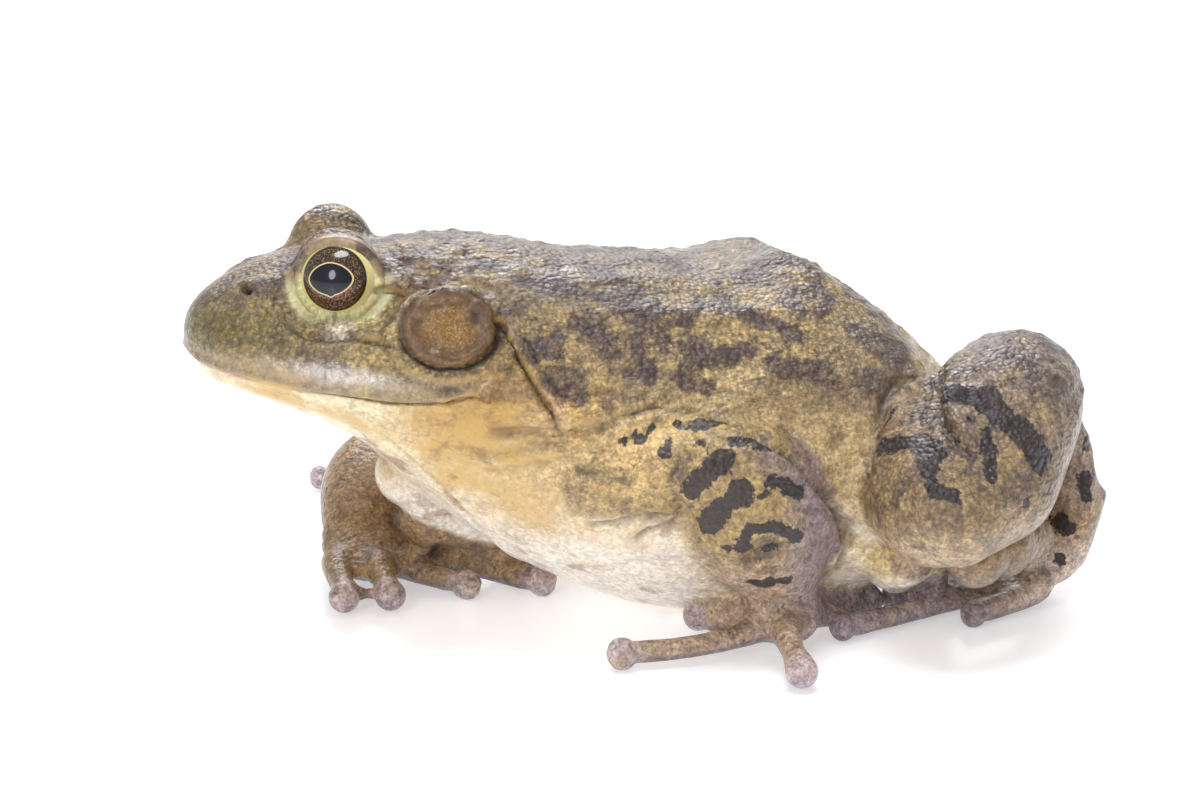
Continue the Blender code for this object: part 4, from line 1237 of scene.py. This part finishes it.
# noise is added to each spot's distance, so its edge is ragged
ragged = n.math("MULTIPLY_ADD", n.noise(420, 4.0, 0.62), 4.4, -2.2)
limb_edge = n.math("ADD", n.stored("limb_spots"), ragged)
limb_dark = n.ramp(limb_edge, 0.18, -0.18)
uneven = n.math("MULTIPLY_ADD", n.noise(230, 5.0, 0.65), 9.0, -4.5)
inside = n.ramp(n.noise(420, 4.0, 0.65), 0.32, 0.62, 0.55, 0.95)
back_dark = n.math("MULTIPLY", n.ramp(n.math("ADD", n.stored("back_spots"), uneven), 0.8, -0.7), inside)
flank_dark = n.math("MULTIPLY", n.ramp(n.math("ADD", n.stored("flank_spots"), uneven), 1.2, -1.2), 0.5)
colour = n.mix(flank_dark, colour, screen(0.46, 0.33, 0.25))
colour = n.mix(back_dark, colour, screen(0.31, 0.22, 0.21))
colour = n.mix(n.math("MULTIPLY", limb_dark, 0.94), colour, screen(0.12, 0.09, 0.11))
dots = n.math("MULTIPLY", n.ramp(n.cells(360), 0.36, 0.24), n.math("MULTIPLY", on_limbs, rough_back))
colour = n.mix(n.math("MULTIPLY", dots, 0.6), colour, screen(0.28, 0.22, 0.25))
small = n.ramp(n.noise(340, 3.0, 0.6), 0.64, 0.69)
small_here = n.math("MULTIPLY", n.math("MULTIPLY", small, on_limbs), 0.6)
colour = n.mix(small_here, colour, screen(0.24, 0.18, 0.19))
print("nodes so far:", len(tree.nodes))

# %% Grains and fine lines
# painted light on each grain's raised top, and painted shade in the line between it and the next
grain = n.cells(950)
fine = n.noise(1700, 4.0, 0.7)
grain_light_and_shade = n.math("MULTIPLY_ADD", grain, -1.1, 1.45)
grain_lit_and_shaded = n.mix(1.0, colour, n.mix(1.0, screen(1, 1, 1), grain_light_and_shade, "MULTIPLY"), "MULTIPLY")
colour = n.mix(n.math("MULTIPLY_ADD", rough_back, 0.5, 0.3), colour, grain_lit_and_shaded)
small_speckle = n.ramp(fine, 0.34, 0.66, 0.64, 1.28)
large_speckle = n.ramp(n.noise(520, 3.0, 0.6), 0.36, 0.64, 0.70, 1.22)
speckle = n.math("MULTIPLY", small_speckle, large_speckle)
off_the_lids = n.math("MULTIPLY_ADD", smooth_parts, -0.6, 0.95)
speckle_here = n.math("SUBTRACT", off_the_lids, n.math("MULTIPLY", pale, 0.55))
colour = n.mix(speckle_here, colour, n.mix(1.0, colour, speckle, "MULTIPLY"))
wrinkle = n.noise(260, 5.0, 0.62, n.stretched((0.35, 1.0, 1.6)))
dark_line = n.ramp(n.math("ABSOLUTE", n.math("SUBTRACT", wrinkle, 0.5)), 0.03, 0.0)
line_here = n.math("MULTIPLY", dark_line, n.math("MULTIPLY_ADD", rough_back, 0.45, 0.06))
colour = n.mix(line_here, colour, screen(0.30, 0.25, 0.27))
print("nodes so far:", len(tree.nodes))

# %% Pale skin and the eardrum
# the throat and belly are faintly clouded with gold and brown, and thinly creased
golden_here = n.math("MULTIPLY", n.stored("golden"), 0.85)
gold_cloud = n.math("MULTIPLY", n.ramp(n.noise(85, 4.0, 0.6, along), 0.42, 0.58), golden_here)
colour = n.mix(gold_cloud, colour, screen(0.80, 0.65, 0.36))
pale_here = n.math("MULTIPLY", pale, 0.7)
pale_cloud = n.math("MULTIPLY", n.ramp(n.noise(130, 5.0, 0.65, along), 0.54, 0.66), pale_here)
colour = n.mix(pale_cloud, colour, screen(0.58, 0.44, 0.32))
creases = n.noise(75, 4.0, 0.55, n.stretched((0.4, 1.0, 1.5)))
thin = n.ramp(n.math("ABSOLUTE", n.math("SUBTRACT", creases, 0.5)), 0.016, 0.0)
thin_here = n.math("MULTIPLY", thin, n.math("MULTIPLY", pale, 0.30))
colour = n.mix(thin_here, colour, screen(0.55, 0.42, 0.33))

# the eardrum has finer grains of its own
drum_grain = n.math("MULTIPLY", n.ramp(n.cells(2300), 0.30, 0.55), n.math("MULTIPLY", drum, 0.55))
colour = n.mix(drum_grain, colour, screen(0.38, 0.26, 0.18))
drum_mottle = n.math("MULTIPLY", n.ramp(n.noise(520, 4.0, 0.65), 0.50, 0.60), n.math("MULTIPLY", drum, 0.6))
colour = n.mix(drum_mottle, colour, screen(0.36, 0.26, 0.21))
tree.links.new(colour, shader.inputs["Base Color"])
print("nodes so far:", len(tree.nodes))

# %% [markdown]
# Frog skin is wet. Under the film of water it is soft and fairly rough, and light passes a little way
# into it. The film is a clear coat, and it follows the same small bumps, so each grain and wrinkle
# catches its own point of light.

# %% Bumps and the wet coat
calm = n.math("SUBTRACT", 1.0, smooth_parts)
more_on_limbs = n.math("MULTIPLY", on_limbs, 0.35)
grain_strength = n.math("ADD", n.math("MULTIPLY_ADD", rough_back, 0.6, 0.2), more_on_limbs)
bumped = n.bump(n.math("SUBTRACT", 1.0, grain), n.math("MULTIPLY", grain_strength, calm), 0.0005)
wrinkle_strength = n.math("MULTIPLY", n.math("MULTIPLY_ADD", rough_back, 0.8, 0.2), calm)
bumped = n.bump(wrinkle, wrinkle_strength, 0.0011, bumped)
bumped = n.bump(fine, 0.5, 0.0003, bumped)
bumped = n.bump(creases, n.math("MULTIPLY", pale, 0.6), 0.0012, bumped)
tree.links.new(bumped, shader.inputs["Normal"])
tree.links.new(bumped, shader.inputs["Coat Normal"])
tree.links.new(n.ramp(n.noise(210, 3.0), 0.35, 0.65, 0.30, 0.48), shader.inputs["Roughness"])
shader.inputs["Specular IOR Level"].default_value = 0.28
shader.inputs["Coat Weight"].default_value = 0.6
shader.inputs["Coat Roughness"].default_value = 0.08
shader.inputs["Subsurface Weight"].default_value = 0.08
shader.inputs["Subsurface Radius"].default_value = (1.0, 0.5, 0.25)
shader.inputs["Subsurface Scale"].default_value = 0.0012
skin.data.materials.append(skin_material)
print("skin material:", len(tree.nodes), "nodes")

# %% [markdown]
# An eye is a smooth ball whose colours are set by distances across and up from the middle of the iris,
# stored on its points. The pupil is an almond with a slight point below and a thin gold ring. The iris
# is dark with gold flecks, and the pale white of the eye shows only at its edges. A clear coat stands
# for the cornea, so it mirrors the softboxes.

# %% Eye material
PUPIL_HALF = (3.9, 2.8)      # mm, along and up
POINTED = 1.75               # the power of a plain oval is 2, and a lower one points its ends
IRIS_RADIUS = 5.75           # mm
eye_material, tree, shader = new_material("frog eye")
n = Nodes(tree)
along, up = n.stored("along"), n.stored("up")
iris_far = n.math("SQRT", n.math("ADD", n.math("POWER", along, 2.0), n.math("POWER", up, 2.0)))
# the almond is 1 along the pupil's edge and grows away from it
pupil_along = n.math("DIVIDE", n.math("ABSOLUTE", n.math("SUBTRACT", along, 0.35)), PUPIL_HALF[0])
pupil_up = n.math("DIVIDE", n.math("ABSOLUTE", up), PUPIL_HALF[1])
point_below = n.math("MULTIPLY", n.ramp(up, -1.4, -2.9), n.ramp(pupil_along, 0.0, 0.22, 0.10, 0.0))
almond = n.math("ADD", n.math("POWER", pupil_along, POINTED), n.math("POWER", pupil_up, POINTED))
almond = n.math("SUBTRACT", n.math("POWER", almond, 1 / POINTED), point_below)
flecks = n.noise(2300, 4.0, 0.75)
iris = n.mix(n.ramp(flecks, 0.52, 0.62), screen(0.16, 0.12, 0.11), screen(0.50, 0.38, 0.24))
low_orange = n.math("MULTIPLY", n.ramp(up, 0.5, -3.5), n.ramp(flecks, 0.50, 0.60))
iris = n.mix(n.math("MULTIPLY", low_orange, 0.75), iris, screen(0.62, 0.34, 0.16))
gold_dust = n.math("MULTIPLY", n.ramp(n.noise(3600, 3.0, 0.7), 0.60, 0.66), 0.7)
iris = n.mix(gold_dust, iris, screen(0.86, 0.72, 0.45))
iris = n.mix(n.ramp(iris_far, IRIS_RADIUS - 0.7, IRIS_RADIUS - 0.1), iris, screen(0.10, 0.08, 0.09))
white = n.mix(n.ramp(iris_far, IRIS_RADIUS + 0.1, IRIS_RADIUS + 0.9), screen(0.88, 0.82, 0.50),
              screen(0.90, 0.86, 0.68))
eye_colour = n.mix(n.ramp(iris_far, IRIS_RADIUS - 0.08, IRIS_RADIUS + 0.08), iris, white)
eye_colour = n.mix(n.ramp(almond, 1.09, 1.05), eye_colour, screen(0.90, 0.80, 0.58))
eye_colour = n.mix(n.ramp(almond, 1.015, 0.985), eye_colour, screen(0.03, 0.05, 0.10))
tree.links.new(eye_colour, shader.inputs["Base Color"])
shader.inputs["Roughness"].default_value = 0.35
shader.inputs["Specular IOR Level"].default_value = 0.1
shader.inputs["Coat Weight"].default_value = 1.0
shader.inputs["Coat Roughness"].default_value = 0.07
print("eye material:", len(tree.nodes), "nodes")

# %% Eyes
EYE_DIRECTIONS = np.array([EYE_FRONT, EYE_TOP, EYE_AXIS])
OFF_THE_IRIS = 20.0          # mm, given to the back half of the ball, so that it has no iris of its own


def make_eye(name, flip):
    bm = bmesh.new()
    bmesh.ops.create_uvsphere(bm, u_segments=72, v_segments=44, radius=EYE_RADIUS * MM)
    mesh = bpy.data.meshes.new(f"{name}_ball")
    bm.to_mesh(mesh)
    bm.free()
    local = np.array([v.co[:] for v in mesh.vertices]) / MM
    turned = local @ EYE_DIRECTIONS * flip
    mesh.vertices.foreach_set("co", (from_head(EYE * flip + turned) * MM).ravel())
    # a mirrored ball would be inside out
    if np.linalg.det(EYE_DIRECTIONS) * flip.prod() * np.linalg.det(HEAD_AXES) < 0:
        mesh.flip_normals()
    along = np.where(local[:, 2] > 0, local[:, 0], OFF_THE_IRIS)
    mesh.attributes.new("along", "FLOAT", "POINT").data.foreach_set("value", along)
    mesh.attributes.new("up", "FLOAT", "POINT").data.foreach_set("value", local[:, 1])
    ball = bpy.data.objects.new(f"{name}_ball", mesh)
    bpy.context.scene.collection.objects.link(ball)
    ball.data.shade_smooth()
    ball.data.materials.append(eye_material)
    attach(ball, "root")
    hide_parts(name)
    return ball


for name, flip in zip(("eye_left", "eye_right"), LEFT_AND_RIGHT):
    ball = make_eye(name, flip)
    print(ball.name, len(ball.data.polygons), "faces")

# %% [markdown]
# The frog has no joints, so its skin rides on the root, as the eyes do. It stands in for every flesh
# solid, and those are then hidden.

# %% Tie the skin to the frog
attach(skin, "root")
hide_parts(*FLESH)
print("skin stands in for", len(FLESH), "solids")

# %% [markdown]
# The camera looks at the frog's left side from slightly above, from well back, so that the near parts
# don't swell.

# %% Camera
camera = bpy.data.objects.new("camera", bpy.data.cameras.new("camera"))
bpy.context.scene.collection.objects.link(camera)
bpy.context.scene.camera = camera
AZIMUTH, ELEVATION = math.radians(-24.0), math.radians(15.5)
DISTANCE, AIM_HEIGHT = 600.0, 38.4       # mm
away = np.array([math.sin(AZIMUTH) * math.cos(ELEVATION), -math.cos(AZIMUTH) * math.cos(ELEVATION),
                 math.sin(ELEVATION)])
aim = BODY_ORIGIN + np.array([0.0, 0.0, AIM_HEIGHT])
camera.location = Vector((aim + away * DISTANCE) * MM)
camera.rotation_mode = "QUATERNION"
camera.rotation_quaternion = Vector(-away).to_track_quat("-Z", "Y")
camera.data.sensor_width = 36.0
camera.data.lens = 95.4
camera.data.clip_start = 0.01
camera.data.clip_end = 10.0
print("camera at", [round(v, 3) for v in camera.location])

# %% [markdown]
# The floor is a pale sheet that reaches out of view. It glows a little, so that the shadow under the
# frog stays light, as in a studio tent.

# %% Floor
bm = bmesh.new()
bmesh.ops.create_circle(bm, cap_ends=True, segments=64, radius=3.0)
floor_mesh = bpy.data.meshes.new("floor")
bm.to_mesh(floor_mesh)
bm.free()
floor = bpy.data.objects.new("floor", floor_mesh)
bpy.context.scene.collection.objects.link(floor)
floor_material, tree, shader = new_material("floor white")
shader.inputs["Base Color"].default_value = (0.86, 0.86, 0.89, 1)
shader.inputs["Roughness"].default_value = 0.22
shader.inputs["Emission Color"].default_value = (1, 1, 1, 1)
shader.inputs["Emission Strength"].default_value = 0.42
floor_mesh.materials.append(floor_material)
floor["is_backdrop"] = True
print("floor:", floor.name)

# %% [markdown]
# Large soft boxes stand in for the tent: one overhead for the wet back, one behind for the rim, one in
# front for the face and the eye. Small hard lights would put sharp glints all over the wet skin.

# %% Light
world = bpy.data.worlds.new("studio")
bpy.context.scene.world = world
world.use_nodes = True
world.node_tree.nodes["Background"].inputs["Color"].default_value = (1, 1, 1, 1)
world.node_tree.nodes["Background"].inputs["Strength"].default_value = 0.5


def softbox(name, place, aim_at, size, power, colour=(1, 1, 1)):
    light = bpy.data.objects.new(name, bpy.data.lights.new(name, "AREA"))
    bpy.context.scene.collection.objects.link(light)
    light.data.shape = "ELLIPSE"
    light.data.size, light.data.size_y = size
    light.data.energy = power
    light.data.color = colour
    light.location = place
    light.rotation_mode = "QUATERNION"
    light.rotation_quaternion = (Vector(aim_at) - Vector(place)).to_track_quat("-Z", "Y")
    return light


softbox("overhead", (0.0, -0.05, 0.8), (0, 0, 0.03), (0.45, 0.30), 4.0, (0.97, 0.98, 1.0))
softbox("behind", (0.25, 0.75, 0.5), (0, 0, 0.04), (0.7, 0.3), 3.2, (0.93, 0.95, 1.0))
softbox("front_left", (-0.62, -0.62, 0.40), (-0.03, 0, 0.04), (0.30, 0.42), 2.4)
bpy.context.scene.view_settings.view_transform = "Standard"

# %% [markdown]
# Last, the size of the finished frog is printed.

# %% Size of the finished frog
low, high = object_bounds()
print("finished frog in mm:", [round(v / MM, 1) for v in high - low])
